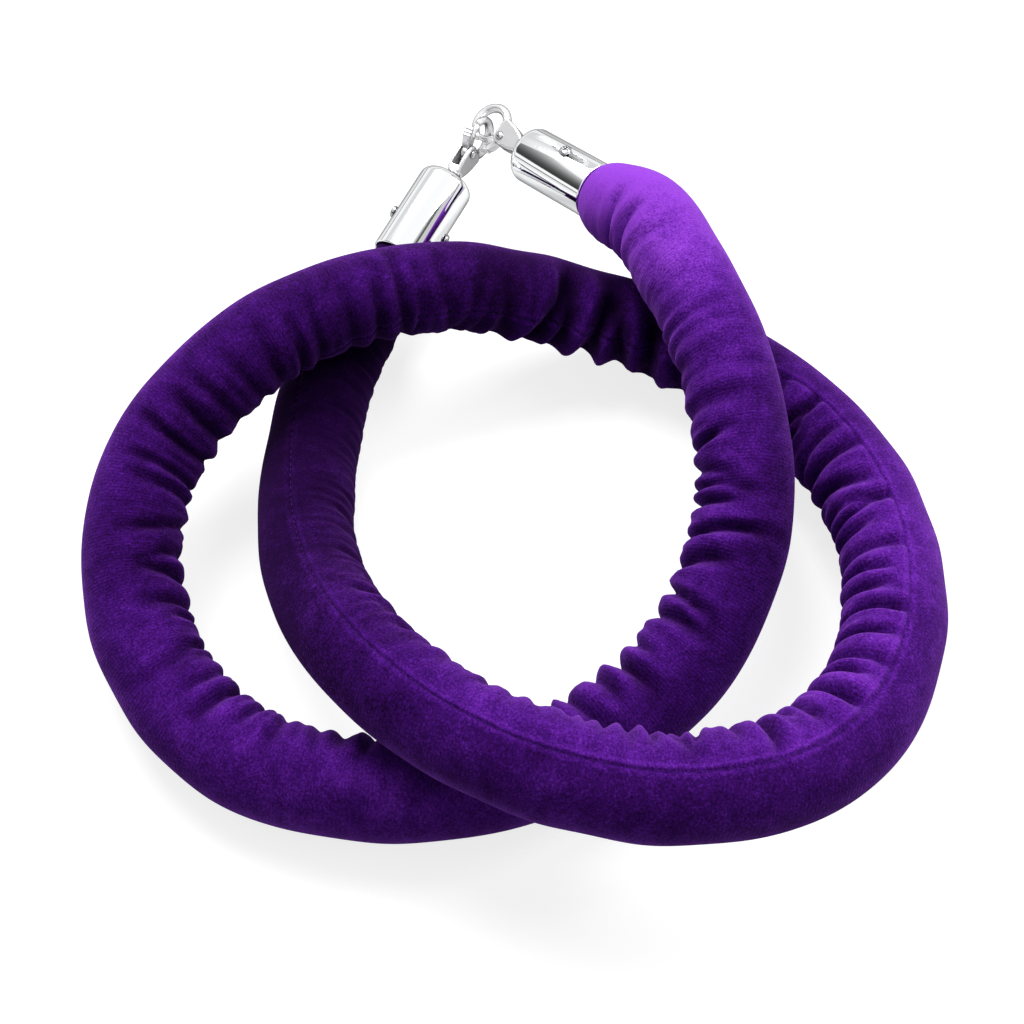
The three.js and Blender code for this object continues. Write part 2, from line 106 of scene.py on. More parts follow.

# The cover's state at places along the rope, as shares of its length from the right cap:
# where the seam runs (degrees round the section: 0 is the inside of the bend, 90 is on top),
# how strongly the velvet is gathered, how far the creases reach over the top, how brightly the
# velvet is painted there (painted light and shade, together with the brushing of its pile), how much
# painted shade lies beyond the seam, and how much painted shade lies on the outside of the bend
# (a negative value paints the outside lighter).
SEAM, GATHERS, REACH, PILE_AND_PAINTED_LIGHT, BEYOND_SEAM_SHADE, OUTSIDE_BEND_SHADE = range(1, 7)  # the columns after the place
STATES = (
    (0.00, -80, 0.15, 50, 1.15, 0.00, 0.00),
    (0.03, -80, 0.45, 90, 0.98, 0.00, 0.00),
    (0.07, -75, 0.95, 130, 0.41, 0.00, 0.10),
    (0.12, -75, 1.10, 145, 0.43, 0.00, 0.22),
    (0.17, -70, 1.10, 140, 0.38, 0.00, 0.10),
    (0.22, -70, 0.70, 110, 0.52, 0.00, 0.00),
    (0.27, -70, 0.50, 110, 0.40, 0.00, -0.05),
    (0.32, -65, 0.62, 125, 0.25, 0.00, -0.08),
    (0.37, -60, 0.50, 125, 0.24, 0.00, -0.06),
    (0.42, -35, 0.50, 115, 0.20, 0.03, -0.02),
    (0.46, 10, 1.05, 110, 0.12, 0.04, 0.00),
    (0.51, 17, 1.50, 108, 0.07, 0.04, 0.00),
    (0.55, 30, 1.35, 108, 0.15, 0.04, 0.00),
    (0.58, 90, 0.85, 120, 0.22, 0.00, 0.00),
    (0.64, 95, 0.95, 130, 0.53, 0.01, 0.00),
    (0.70, 97, 0.95, 125, 0.51, 0.11, 0.00),
    (0.76, 99, 0.65, 95, 0.43, 0.15, 0.00),
    (0.80, 97, 0.45, 72, 0.42, 0.07, 0.00),
    (0.84, 94, 0.50, 60, 0.20, 0.03, 0.00),
    (0.88, 98, 0.35, 55, -0.06, 0.05, 0.00),
    (0.91, 104, 0.20, 50, -0.16, 0.02, 0.00),
    (0.95, 116, 0.12, 50, -0.18, 0.00, 0.00),
    (1.00, 116, 0.10, 50, -0.18, 0.00, 0.00),
)
HELD_SEAM = (45, 85)  # degrees: between these a seam begins to stop the creases that reach it
HELD_SHARE = 0.88  # and how much of them it stops
SPLIT = 0.552  # where the two lengths of the cover meet, under a crossing

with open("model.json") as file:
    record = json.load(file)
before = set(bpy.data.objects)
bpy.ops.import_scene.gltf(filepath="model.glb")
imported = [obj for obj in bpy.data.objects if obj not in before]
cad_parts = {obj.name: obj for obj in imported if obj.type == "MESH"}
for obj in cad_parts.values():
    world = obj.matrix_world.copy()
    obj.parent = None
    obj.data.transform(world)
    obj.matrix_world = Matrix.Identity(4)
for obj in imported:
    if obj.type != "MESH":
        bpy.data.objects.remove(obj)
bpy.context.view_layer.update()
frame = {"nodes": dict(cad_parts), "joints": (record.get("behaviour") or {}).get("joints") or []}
joints = {joint["name"]: joint for joint in frame["joints"]}
nodes = frame["nodes"]


# ---- Places taken from the frame ----


def placed(x, y, z, origin):
    """The matrix with these three axes and this origin."""
    matrix = Matrix((x, y, z)).transposed().to_4x4()
    matrix.translation = Vector(origin)
    return matrix


def cap_frame(side):
    """+Z out of the cap, origin at the middle of its top, and +X level unless the cap is spun."""
    joint = joints[side + "_hook_swivel"]
    axis = Vector(joint["axis"]).normalized()
    level = Vector((0, 0, 1)).cross(axis).normalized()
    frame_of_cap = placed(level, axis.cross(level), axis, joint["pos_m"])
    return frame_of_cap @ Matrix.Rotation(math.radians(CAP_SPIN[side]), 4, "Z")


def hook_frame(side):
    """The cap's frame turned so that +Y is the gate's pivot axis and +X is the claw's side."""
    out = Vector(joints[side + "_hook_swivel"]["axis"]).normalized()
    across = Vector(joints[side + "_gate_pivot"]["axis"]).normalized()
    return placed(across.cross(out), across, out, joints[side + "_hook_swivel"]["pos_m"])


def node_corners(prefix):
    """The distinct vertices of every CAD node whose name starts with prefix."""
    meshes = [node.data for name, node in nodes.items() if name.startswith(prefix)]
    corners = np.array([v.co for mesh in meshes for v in mesh.vertices], float)
    return np.unique(np.round(corners, 6), axis=0)


def cord_centres(start, direction):
    """The centres of the cord's six-sided cross-sections, in order from start."""
    remaining = node_corners("inner_cord_")
    reach = 2.5 * CORD_RADIUS * MM
    centres = []
    here = np.array(start, float)
    while len(remaining):
        ahead = here + direction * reach
        nearest = remaining[np.argmin(np.linalg.norm(remaining - ahead, axis=1))]
        close = np.linalg.norm(remaining - nearest, axis=1) < reach
        ring = remaining[close]
        remaining = remaining[~close]
        middle = ring.mean(axis=0)
        radii = np.linalg.norm(ring - middle, axis=1)
        step = middle - here
        direction = step / max(np.linalg.norm(step), 1e-9)
        here = middle
        if len(ring) == 6 and np.ptp(radii) < 0.05 * CORD_RADIUS * MM:
            centres.append(middle)
    return np.array(centres)


def smooth_path(points, step):
    """Evenly spaced points along a natural cubic spline through the given points."""
    along = np.concatenate([[0], np.cumsum(np.linalg.norm(np.diff(points, axis=0), axis=1))])
    gap = np.diff(along)[:, None]
    slope = np.diff(points, axis=0) / gap
    count = len(points)
    system = np.eye(count)
    right = np.zeros((count, 3))
    for i in range(1, count - 1):
        system[i, i - 1 : i + 2] = gap[i - 1, 0], 2 * (gap[i - 1, 0] + gap[i, 0]), gap[i, 0]
        right[i] = 6 * (slope[i] - slope[i - 1])
    bend = np.linalg.solve(system, right)

    def at(u):
        i = np.clip(np.searchsorted(along, u) - 1, 0, count - 2)
        h = gap[i]
        a = (along[i + 1] - u)[:, None] / h
        b = 1 - a
        curve = ((a**3 - a) * bend[i] + (b**3 - b) * bend[i + 1]) * h**2 / 6
        return a * points[i] + b * points[i + 1] + curve

    fine = at(np.linspace(0, along[-1], 8000))
    length = np.concatenate([[0], np.cumsum(np.linalg.norm(np.diff(fine, axis=0), axis=1))])
    even = np.linspace(0, length[-1], int(round(length[-1] / step)) + 1)
    return np.stack([np.interp(even, length, fine[:, k]) for k in range(3)], axis=1), even


def smoothed(values, width):
    """Values along a path averaged over a soft window of this many points on each side."""
    offsets = np.arange(-3 * width, 3 * width + 1)
    weights = np.exp(-0.5 * (offsets / width) ** 2)
    weights /= weights.sum()
    padded = np.pad(values, ((3 * width, 3 * width), (0, 0)), mode="edge")
    columns = [np.convolve(column, weights, "valid") for column in padded.T]
    return np.stack(columns, axis=1)


class Rope:
    """The rope's centre line with a frame at each point: along it, to the inside and up."""

    def __init__(self):
        right, left = (cap_frame(side) for side in ("right", "left"))
        mouths = [np.array(f @ Vector((0, 0, -CAP_LENGTH * MM))) for f in (right, left)]
        axes = [np.array(f.col[2][:3]) for f in (right, left)]
        centres = cord_centres(mouths[0] + axes[0] * CORD_START * MM, -axes[0])
        clear = [np.linalg.norm(centres - mouth, axis=1) > CAP_CLEARANCE * MM for mouth in mouths]
        centres = centres[clear[0] & clear[1]]
        straight = np.array(STRAIGHT_ENDS)[:, None] * MM
        ends = [mouth + axis * straight for mouth, axis in zip(mouths, axes)]
        points = np.concatenate([ends[0], centres, ends[1][::-1]])
        self.points, even = smooth_path(points, MM)
        start = STRAIGHT_ENDS[0] * MM
        self.distance = even - start
        self.length = even[-1] - 2 * start
        tangent = np.gradient(self.points, axis=0)
        tangent /= np.linalg.norm(tangent, axis=1)[:, None]
        turning = smoothed(np.gradient(tangent, axis=0) / MM, 10)
        up = np.array([0, 0, 1]) - tangent * tangent[:, 2:3]
        self.up = up / np.linalg.norm(up, axis=1)[:, None]
        self.inside = np.cross(tangent, self.up)
        self.bend = np.einsum("ij,ij->i", turning, self.inside)

    def at(self, distance, values):
        """One of the rope's own rows of values, at distances along it."""
        if values.ndim == 1:
            return np.interp(distance, self.distance, values)
        return np.stack([np.interp(distance, self.distance, values[:, k]) for k in range(3)], axis=-1)

    def states(self, distance, column):
        """A column of STATES at distances along the rope, eased between its places."""
        places = np.array([row[0] for row in STATES]) * self.length
        values = np.array([row[column] for row in STATES], float)
        spread = np.linspace(-25, 25, 11) * MM
        return np.mean([np.interp(distance + shift, places, values) for shift in spread], axis=0)


rope = Rope()


# ---- Meshes ----


def linked(name, data):
    """A new object in the scene."""
    obj = bpy.data.objects.new(name, data)
    bpy.context.scene.collection.objects.link(obj)
    return obj


def new_object(name, vertices, faces, smooth=True):
    """A mesh object made of these vertices and faces."""
    mesh = bpy.data.meshes.new(name)
    faces = faces.tolist() if isinstance(faces, np.ndarray) else faces
    mesh.from_pydata(np.asarray(vertices, float).tolist(), [], faces)
    if smooth:
        mesh.shade_smooth()
    return linked(name, mesh)


def write_vectors(obj, name, vectors):
    """Stores a vector for each vertex as a mesh attribute."""
    attribute = obj.data.attributes.new(name, "FLOAT_VECTOR", "POINT")
    attribute.data.foreach_set("vector", vectors.astype(np.float32).ravel())


def ring_faces(rows, columns, first=0, inward=False):
    """Quads between neighbouring rows of a grid whose rows are closed rings."""
    index = np.arange(rows * columns).reshape(rows, columns) + first
    side = np.roll(index, -1, axis=1)
    corners = [index[:-1], index[1:], side[1:], side[:-1]]
    if inward:
        corners.reverse()
    return np.stack(corners, axis=-1).reshape(-1, 4)


def join_rings(first, second):
    """Quads between two rings given by their vertex numbers."""
    return np.stack([first, second, np.roll(second, -1), np.roll(first, -1)], axis=-1)


def shell(name, outer, inner):
    """A closed tube with real thickness from two grids of points with the same number of columns."""
    rows, columns = outer.shape[:2]
    inner_rows = inner.shape[0]
    count = rows * columns
    faces = [ring_faces(rows, columns), ring_faces(inner_rows, columns, count, inward=True)]
    outer_index = np.arange(count).reshape(rows, columns)
    inner_index = np.arange(inner_rows * columns).reshape(inner_rows, columns) + count
    faces.append(join_rings(inner_index[0], outer_index[0]))
    faces.append(join_rings(outer_index[-1], inner_index[-1]))
    vertices = np.concatenate([outer.reshape(-1, 3), inner.reshape(-1, 3)])
    obj = new_object(name, vertices, np.concatenate(faces))
    rims = np.concatenate([outer_index[0], outer_index[-1], inner_index[0], inner_index[-1]])
    edges = np.zeros(len(obj.data.edges) * 2, int)
    obj.data.edges.foreach_get("vertices", edges)
    sharp = np.isin(edges.reshape(-1, 2), rims).all(axis=1)
    attribute = obj.data.attributes.new("sharp_edge", "BOOLEAN", "EDGE")
    attribute.data.foreach_set("value", sharp)
    return obj


# ---- The velvet's surface ----


def eased(x, low, high):
    """0 below low, 1 above high and a smooth rise between them."""
    share = np.clip((x - low) / (high - low), 0, 1)
    return share * share * (3 - 2 * share)


def wrapped(angle):
    """The same direction, from -180 to 180 degrees."""
    return (angle + 180) % 360 - 180


def body_radius(distance):
    """The cover's plain outer radius at distances along the rope, in metres."""
    share = np.clip((distance / MM - NECK_EXIT) / RIGHT_SHOULDER, 0, 1)
    right = np.sqrt(1 - (1 - share) ** 2)
    left = eased((rope.length - distance) / MM, NECK_EXIT, LEFT_SHOULDER)
    return (NECK_RADIUS + (ROPE_RADIUS - NECK_RADIUS) * np.minimum(right, left)) * MM


class Creases:
    """Where the velvet is gathered on the inside of the rope's bends."""

    def __init__(self, seed):
        random = np.random.default_rng(seed)
        self.rows = []
        place = CREASE_END_GAP * MM
        while place < rope.length - CREASE_END_GAP * MM:
            gathers, reach = (float(rope.states([place], column)[0]) for column in (GATHERS, REACH))
            bend = float(np.clip(rope.at(place, rope.bend) / FULL_BEND, 0, 1.2))
            size = random.uniform(0.5, 1.2)
            broad = 1 + 0.5 * float(eased(gathers, 1.15, 1.4))
            self.rows.append(
                {
                    "place": place,
                    "depth": CREASE_DEPTH * MM * gathers * bend * size,
                    "width": CREASE_WIDTH * MM * random.uniform(0.7, 1.2) * broad,
                    "middle": random.normal(2, 9),
                    "reach_up": reach * random.uniform(0.6, 1.15),
                    "reach_down": CREASE_DOWN * random.uniform(0.7, 1.15),
                    "lean": random.normal(0, 2.4) * MM * broad,
                    "curl": random.normal(0, 2.8) * MM * broad,
                }
            )
            place += CREASE_SPACING * MM * random.uniform(0.55, 1.4) * (0.4 + 0.6 * broad)

    def drop(self, distance, angle):
        """How far the surface sinks at each point of a grid of distances and angles."""
        total = np.zeros_like(angle)
        for row in self.rows:
            near = np.abs(distance - row["place"]) < CREASE_SPAN * MM
            if not near.any():
                continue
            turn = wrapped(angle[near] - row["middle"])
            reach = np.where(turn > 0, row["reach_up"], row["reach_down"])
            share = np.abs(turn) / reach
            fade = 1 - eased(share, 0.5, 1.05)
            radians = np.radians(np.clip(turn, -120, 120))
            shift = row["lean"] * np.sin(radians) + row["curl"] * (1 - np.cos(radians))
            width = row["width"] * (1 + 0.5 * np.clip(share, 0, 1.2) ** 2)
            offset = np.abs(distance[near][:, None] - row["place"] - shift) / width
            valley = np.exp(-(offset**1.3))
            ridge = np.exp(-(((offset - 2.1) / 0.9) ** 2))
            total[near] += row["depth"] * fade * (valley - 0.22 * ridge)
        return total


def waves(distance, angle, seed, count, low, high, around):
    """A smooth random field from -1 to 1: sines with wavelengths from low to high millimetres."""
    random = np.random.default_rng(seed)
    total = np.zeros_like(angle)
    for _ in range(count):
        length = random.uniform(low, high) * MM
        turns = random.integers(-around, around + 1)
        phase = random.uniform(0, 2 * math.pi)
        total += np.sin(2 * math.pi * distance[:, None] / length + turns * np.radians(angle) + phase)
    return total / math.sqrt(count)


def spokes(angle, inside, up):
    """Directions straight out of the rope at these angles, in degrees, from its inside towards up."""
    radians = np.radians(angle)[..., None]
    return np.cos(radians) * inside + np.sin(radians) * up


# ---- The gathers, by cloth simulation ----


def cloth_points(distance, angle, radius):
    """A grid of points at these radii from the rope's centre line, larger than life."""
    centre, inside, up = (rope.at(distance, rows)[:, None] for rows in (rope.points, rope.inside, rope.up))
    return (centre + radius[..., None] * spokes(angle[None, :], inside, up)) * CLOTH_SCALE


def cut_cloth(distance, angle, plain):
    """The cloth as it is cut: a straight tube as long all round as each bend's outside."""
    bend = np.clip(rope.at(distance, rope.bend), 0, None)
    longer = np.gradient(distance) * (1 + CLOTH_SLACK * bend * ROPE_RADIUS * MM)
    points = np.empty((*plain.shape, 3))
    points[..., 0] = (np.cumsum(longer) - longer[0])[:, None]
    points[..., 1] = plain * np.cos(np.radians(angle))
    points[..., 2] = plain * np.sin(np.radians(angle))
    return points * CLOTH_SCALE


def padding(distance, angle, plain):
    """The padding that the cloth rests on where it is gathered."""
    radius = (CORE_RADIUS / ROPE_RADIUS) * plain - PADDING_INSET * MM
    points = cloth_points(distance, angle, radius)
    obj = new_object("padding", points.reshape(-1, 3), ring_faces(*plain.shape))
    obj.modifiers.new("collision", "COLLISION")
    obj.collision.thickness_outer = CLOTH_GAP
    return obj


def hang_cloth(obj, distance, rest):
    """Gives the cloth its stuff, a little pressure from the padding and a hold at both caps."""
    held = obj.vertex_groups.new(name="held")
    fast = np.minimum(distance, rope.length - distance) < CLOTH_HELD * MM
    held.add(np.nonzero(np.repeat(fast, CLOTH_COLUMNS))[0].tolist(), 1.0, "REPLACE")
    cloth = obj.modifiers.new("cloth", "CLOTH")
    cloth.point_cache.frame_start = 1
    cloth.point_cache.frame_end = CLOTH_FRAMES
    cloth.collision_settings.distance_min = CLOTH_GAP
    cloth.collision_settings.use_self_collision = False
    stuff = {
        "quality": 5,
        "mass": 0.3,
        "tension_stiffness": 25,
        "compression_stiffness": 25,
        "shear_stiffness": 4,
        "bending_stiffness": 0.6,
        "tension_damping": 10,
        "compression_damping": 10,
        "air_damping": 5,
        "use_pressure": True,
        "uniform_pressure_force": 1.0,
        "vertex_group_mass": "held",
        "rest_shape_key": rest,
    }
    for setting, value in stuff.items():
        setattr(cloth.settings, setting, value)
    cloth.settings.effector_weights.gravity = 0


def settled_cover(creases):
    """How far the cover moves as its spare length gathers on the inside of the bends.

    Returns the cloth's distances and its moves, in metres, as a grid of vectors.
    """
    count = int(rope.length / (CLOTH_STEP * MM))
    distance = np.linspace(0, rope.length, count)
    angle = np.linspace(-180, 180, CLOTH_COLUMNS, endpoint=False)
    plain = np.repeat(body_radius(distance)[:, None], CLOTH_COLUMNS, axis=1)
    drop = creases.drop(distance, np.repeat(angle[None, :], count, axis=0))
    before = cloth_points(distance, angle, plain - CLOTH_START * drop)
    obj = new_object("cloth", before.reshape(-1, 3), ring_faces(count, CLOTH_COLUMNS))
    obj.shape_key_add(name="Basis")
    rest = obj.shape_key_add(name="cut")
    rest.data.foreach_set("co", cut_cloth(distance, angle, plain).astype(np.float32).ravel())
    rest.value = 0.0
    under = padding(distance, angle, plain)
    hang_cloth(obj, distance, rest)
    for number in range(1, CLOTH_FRAMES + 1):
        bpy.context.scene.frame_set(number)
    mesh = obj.evaluated_get(bpy.context.evaluated_depsgraph_get()).data
    after = np.empty(len(mesh.vertices) * 3)
    mesh.vertices.foreach_get("co", after)
    bpy.context.scene.frame_set(1)
    for helper in (obj, under):
        bpy.data.objects.remove(helper)
    moves = (after.reshape(before.shape) - cloth_points(distance, angle, plain)) / CLOTH_SCALE
    size = np.linalg.norm(moves, axis=-1, keepdims=True)
    return distance, moves * np.minimum(1, CLOTH_LIMIT * MM / np.maximum(size, 1e-9))


def taps(place, count, wrap):
    """For places on one axis of a grid: the four samples round each and how much each counts."""
    low = np.floor(place).astype(int)
    t = place - low
    first = -0.5 * t + t**2 - 0.5 * t**3
    second = 1 - 2.5 * t**2 + 1.5 * t**3
    third = 0.5 * t + 2 * t**2 - 1.5 * t**3
    weights = np.stack([first, second, third, 1 - first - second - third], axis=-1)
    index = low[..., None] + np.arange(-1, 3)
    return (index % count if wrap else np.clip(index, 0, count - 1)), weights


def spread(distance, moves, at_distance, at_angle):
    """The cloth's moves, smoothly interpolated onto a finer grid."""
    rows, columns = moves.shape[:2]
    row, row_weight = taps(np.interp(at_distance, distance, np.arange(rows)), rows, False)
    turn = (at_angle + 180) % 360 / 360 * columns
    column, column_weight = taps(turn, columns, True)
    total = np.zeros((*at_angle.shape, 3))
    for i in range(4):
        for j in range(4):
            weight = row_weight[:, None, i] * column_weight[..., j]
            total += moves[row[:, None, i], column[..., j]] * weight[..., None]
    return total


class Surface:
    """The cover's outer surface as a grid: rows along the rope, columns round it from the seam."""

    def __init__(self):
        start = -NECK_LENGTH * MM
        steps = int(round((rope.length - 2 * start) / (RING_STEP * MM)))
        self.distance = np.linspace(start, rope.length - start, steps + 1)
        around = 2 * math.pi * ROPE_RADIUS
        near = np.array(SEAM_COLUMNS)
        plain = np.linspace(near[-1], around - near[-1], PLAIN_COLUMNS + 2)[1:-1]
        offsets = np.concatenate([[0], near, plain, around - near[::-1]])
        self.offset = (offsets + around / 2) % around - around / 2  # from the seam, in millimetres
        self.seam = rope.states(self.distance, SEAM)
        self.angle = self.seam[:, None] + np.degrees(self.offset / ROPE_RADIUS)[None, :]
        self.centre = rope.at(self.distance, rope.points)
        self.inside = rope.at(self.distance, rope.inside)
        self.up = rope.at(self.distance, rope.up)
        self.plain = body_radius(self.distance)
        self.fullness = np.clip((self.plain / MM - NECK_RADIUS) / (ROPE_RADIUS - NECK_RADIUS), 0, 1)
        # Where the painted shade beyond the seam lies.
        self.painted_shade_beyond_seam = eased(self.offset, -1.0, 0.8) * (1 - eased(self.offset, 35, 59))
        self.welt = np.exp(-(((np.abs(self.offset) - 1.6) / 0.9) ** 2))
        gathers = Creases(11)
        free = 1 - HELD_SHARE * eased(self.seam, *HELD_SEAM)[:, None] * eased(self.offset, -1.0, 0.8)
        self.detail = self.sink(gathers, free)
        moves = spread(*settled_cover(gathers), self.distance, self.angle)
        calm = free * eased(self.fullness, 0.05, 0.6)[:, None]
        self.moves = moves * calm[..., None]
        self.drop = self.detail - np.einsum("ijk,ijk->ij", self.moves, self.outward())

    def outward(self, rows=slice(None), columns=slice(None)):
        """The direction straight out of the rope at each point of the grid."""
        return spokes(self.angle[rows][:, columns], self.inside[rows, None], self.up[rows, None])

    def sink(self, gathers, free):
        """How far the surface's fine shape lies below the cloth, in metres."""
        angle = wrapped(self.angle)
        creases = CRISP_SHARE * gathers.drop(self.distance, angle) * free
        inner = 1 - eased(np.abs(angle), 40, 125)
        ripples = waves(self.distance, angle, 5, 9, 3.5, 7.5, 3) * inner * RIPPLE_DEPTH * MM
        lumps = waves(self.distance, angle, 8, 7, 24, 70, 2) * LUMP_DEPTH * MM
        stitch = 0.5 + 0.5 * np.cos(2 * math.pi * self.distance / (STITCH_PITCH * MM))
        across = np.abs(self.offset)[None, :]
        groove = np.exp(-((across / 0.6) ** 2)) * (SEAM_DEPTH + STITCH_PULL * stitch[:, None])
        seam = (groove - WELT_HEIGHT * self.welt) * MM
        sink = creases + ripples + lumps + seam + PILE_CLEARANCE * MM
        return sink * eased(self.fullness, 0.15, 0.95)[:, None]

    def points(self, rows, inset=0.0, columns=slice(None)):
        """Points on the surface, or this far inside it, in metres."""
        radius = self.plain[rows, None] - self.detail[rows][:, columns]
        radius = radius - inset * (self.plain[rows, None] / (ROPE_RADIUS * MM))
        points = self.centre[rows, None] + radius[..., None] * self.outward(rows, columns)
        points += self.moves[rows][:, columns]
        floor = inset + 0.1 * MM
        touch = FLOOR_TOUCH * MM
        lifted = touch * np.logaddexp(0, (points[..., 2] - floor) / touch) + floor
        points[..., 2] = np.where(points[..., 2] < floor + 8 * touch, lifted, points[..., 2])
        return points


def velvet_cover(name, rows, surface):
    """One length of the velvet cover between two rows of the surface."""
    thinned = rows[::3] if (len(rows) - 1) % 3 == 0 else np.append(rows[::3], rows[-1])
    obj = shell(name, surface.points(rows), surface.points(thinned, COVER_THICKNESS * MM))
    both = np.concatenate([rows, thinned])
    distance = surface.distance[both]
    radians = np.radians(surface.angle[both])
    weave = np.empty((*radians.shape, 3))
    weave[..., 0] = distance[:, None]
    weave[..., 1] = ROPE_RADIUS * MM * np.cos(radians)
    weave[..., 2] = ROPE_RADIUS * MM * np.sin(radians)
    write_vectors(obj, "weave", weave)
    columns = (PILE_AND_PAINTED_LIGHT, BEYOND_SEAM_SHADE, OUTSIDE_BEND_SHADE)
    # Painted shade beyond the seam and on the outside of the bend; a negative outside value paints it
    # lighter.
    pile_and_painted_light, painted_shade_beyond_seam, outside = (rope.states(distance, column)[:, None] for column in columns)
    away = eased(np.abs(wrapped(surface.angle[both])), 50, 130)
    shade = np.empty_like(weave)
    # The velvet's painted light and shade along the rope, together with the brushing of its pile.
    shade[..., 0] = pile_and_painted_light
    # Painted shade in the creases: the deeper the surface sinks there, the darker the velvet is painted.
    shade[..., 1] = surface.drop[both] / (CREASE_DEPTH * MM)
    # The welt's painted highlight is taken off the painted shade.
    shade[..., 2] = painted_shade_beyond_seam * surface.painted_shade_beyond_seam + outside * away - WELT_SHINE * surface.welt
    write_vectors(obj, "shade", shade)
    return obj


# ---- Inside the cover ----


def foam_core(name, rows, surface):
    """The foam under the cover, pressed in wherever the cover is gathered."""
    columns = slice(None, None, 3)
    outer = surface.points(rows, (ROPE_RADIUS - CORE_RADIUS) * MM, columns)
    bore = surface.centre[rows, None] + CORE_BORE_RADIUS * MM * surface.outward(rows, columns)
    return shell(name, outer, bore)


def inner_cord(name, rows, surface):
    """The three-strand twisted cord along the rope's middle."""
    around = np.linspace(0, 360, CORD_COLUMNS, endpoint=False)[None, :]
    twist = surface.distance[rows, None] / (CORD_TWIST * MM) * 360
    radius = CORD_RADIUS * MM * (0.86 + 0.14 * np.abs(np.cos(np.radians(1.5 * (around - twist)))))
    out = spokes(around, surface.inside[rows, None], surface.up[rows, None])
    points = surface.centre[rows, None] + radius[..., None] * out
    vertices = np.concatenate([points.reshape(-1, 3), surface.centre[rows[[0, -1]]]])
    here = np.arange(CORD_COLUMNS)
    after = np.roll(here, -1)
    first = points.shape[0] * CORD_COLUMNS
    far = first - CORD_COLUMNS
    faces = ring_faces(len(rows), CORD_COLUMNS).tolist()
    faces += [[first, a, b] for a, b in zip(here, after)]
    faces += [[first + 1, b, a] for a, b in zip(far + here, far + after)]
    return new_object(name, vertices, faces)


def seam_stitches(name, low, high, surface):
    """A row of small raised stitches along the seam between two distances."""
    along = np.array([-0.5, -0.32, 0, 0.32, 0.5])[:, None]
    width = np.array([0.25, 0.85, 1, 0.85, 0.25])[:, None]
    around = np.linspace(0, 2 * math.pi, 6, endpoint=False)
    stitch = np.empty((5, 6, 3))
    stitch[..., 0] = STITCH_LENGTH * along
    stitch[..., 1] = STITCH_RADIUS * (0.6 - 2 * along**2 + width * np.cos(around))
    stitch[..., 2] = STITCH_RADIUS * width * np.sin(around)
    stitch = stitch.reshape(-1, 3) * MM
    template = ring_faces(5, 6).tolist() + [[5, 4, 3, 2, 1, 0], list(range(24, 30))]
    vertices, faces = [], []
    for i in range(int((high - low) / (STITCH_PITCH * MM))):
        at = low + (i + 0.5) * STITCH_PITCH * MM
        row = int(np.argmin(np.abs(surface.distance - at)))
        here = surface.points(np.array([row - 1, row, row + 1]), 0.0, slice(0, 1))[:, 0]
        ways = (here[2] - here[0], here[1] - surface.centre[row])
        forward, out = (way / np.linalg.norm(way) for way in ways)
        faces += [[len(vertices) + k for k in face] for face in template]
        vertices.extend(here[1] + stitch @ np.stack([forward, out, np.cross(forward, out)]))
    return new_object(name, vertices, faces)


# ---- Materials ----


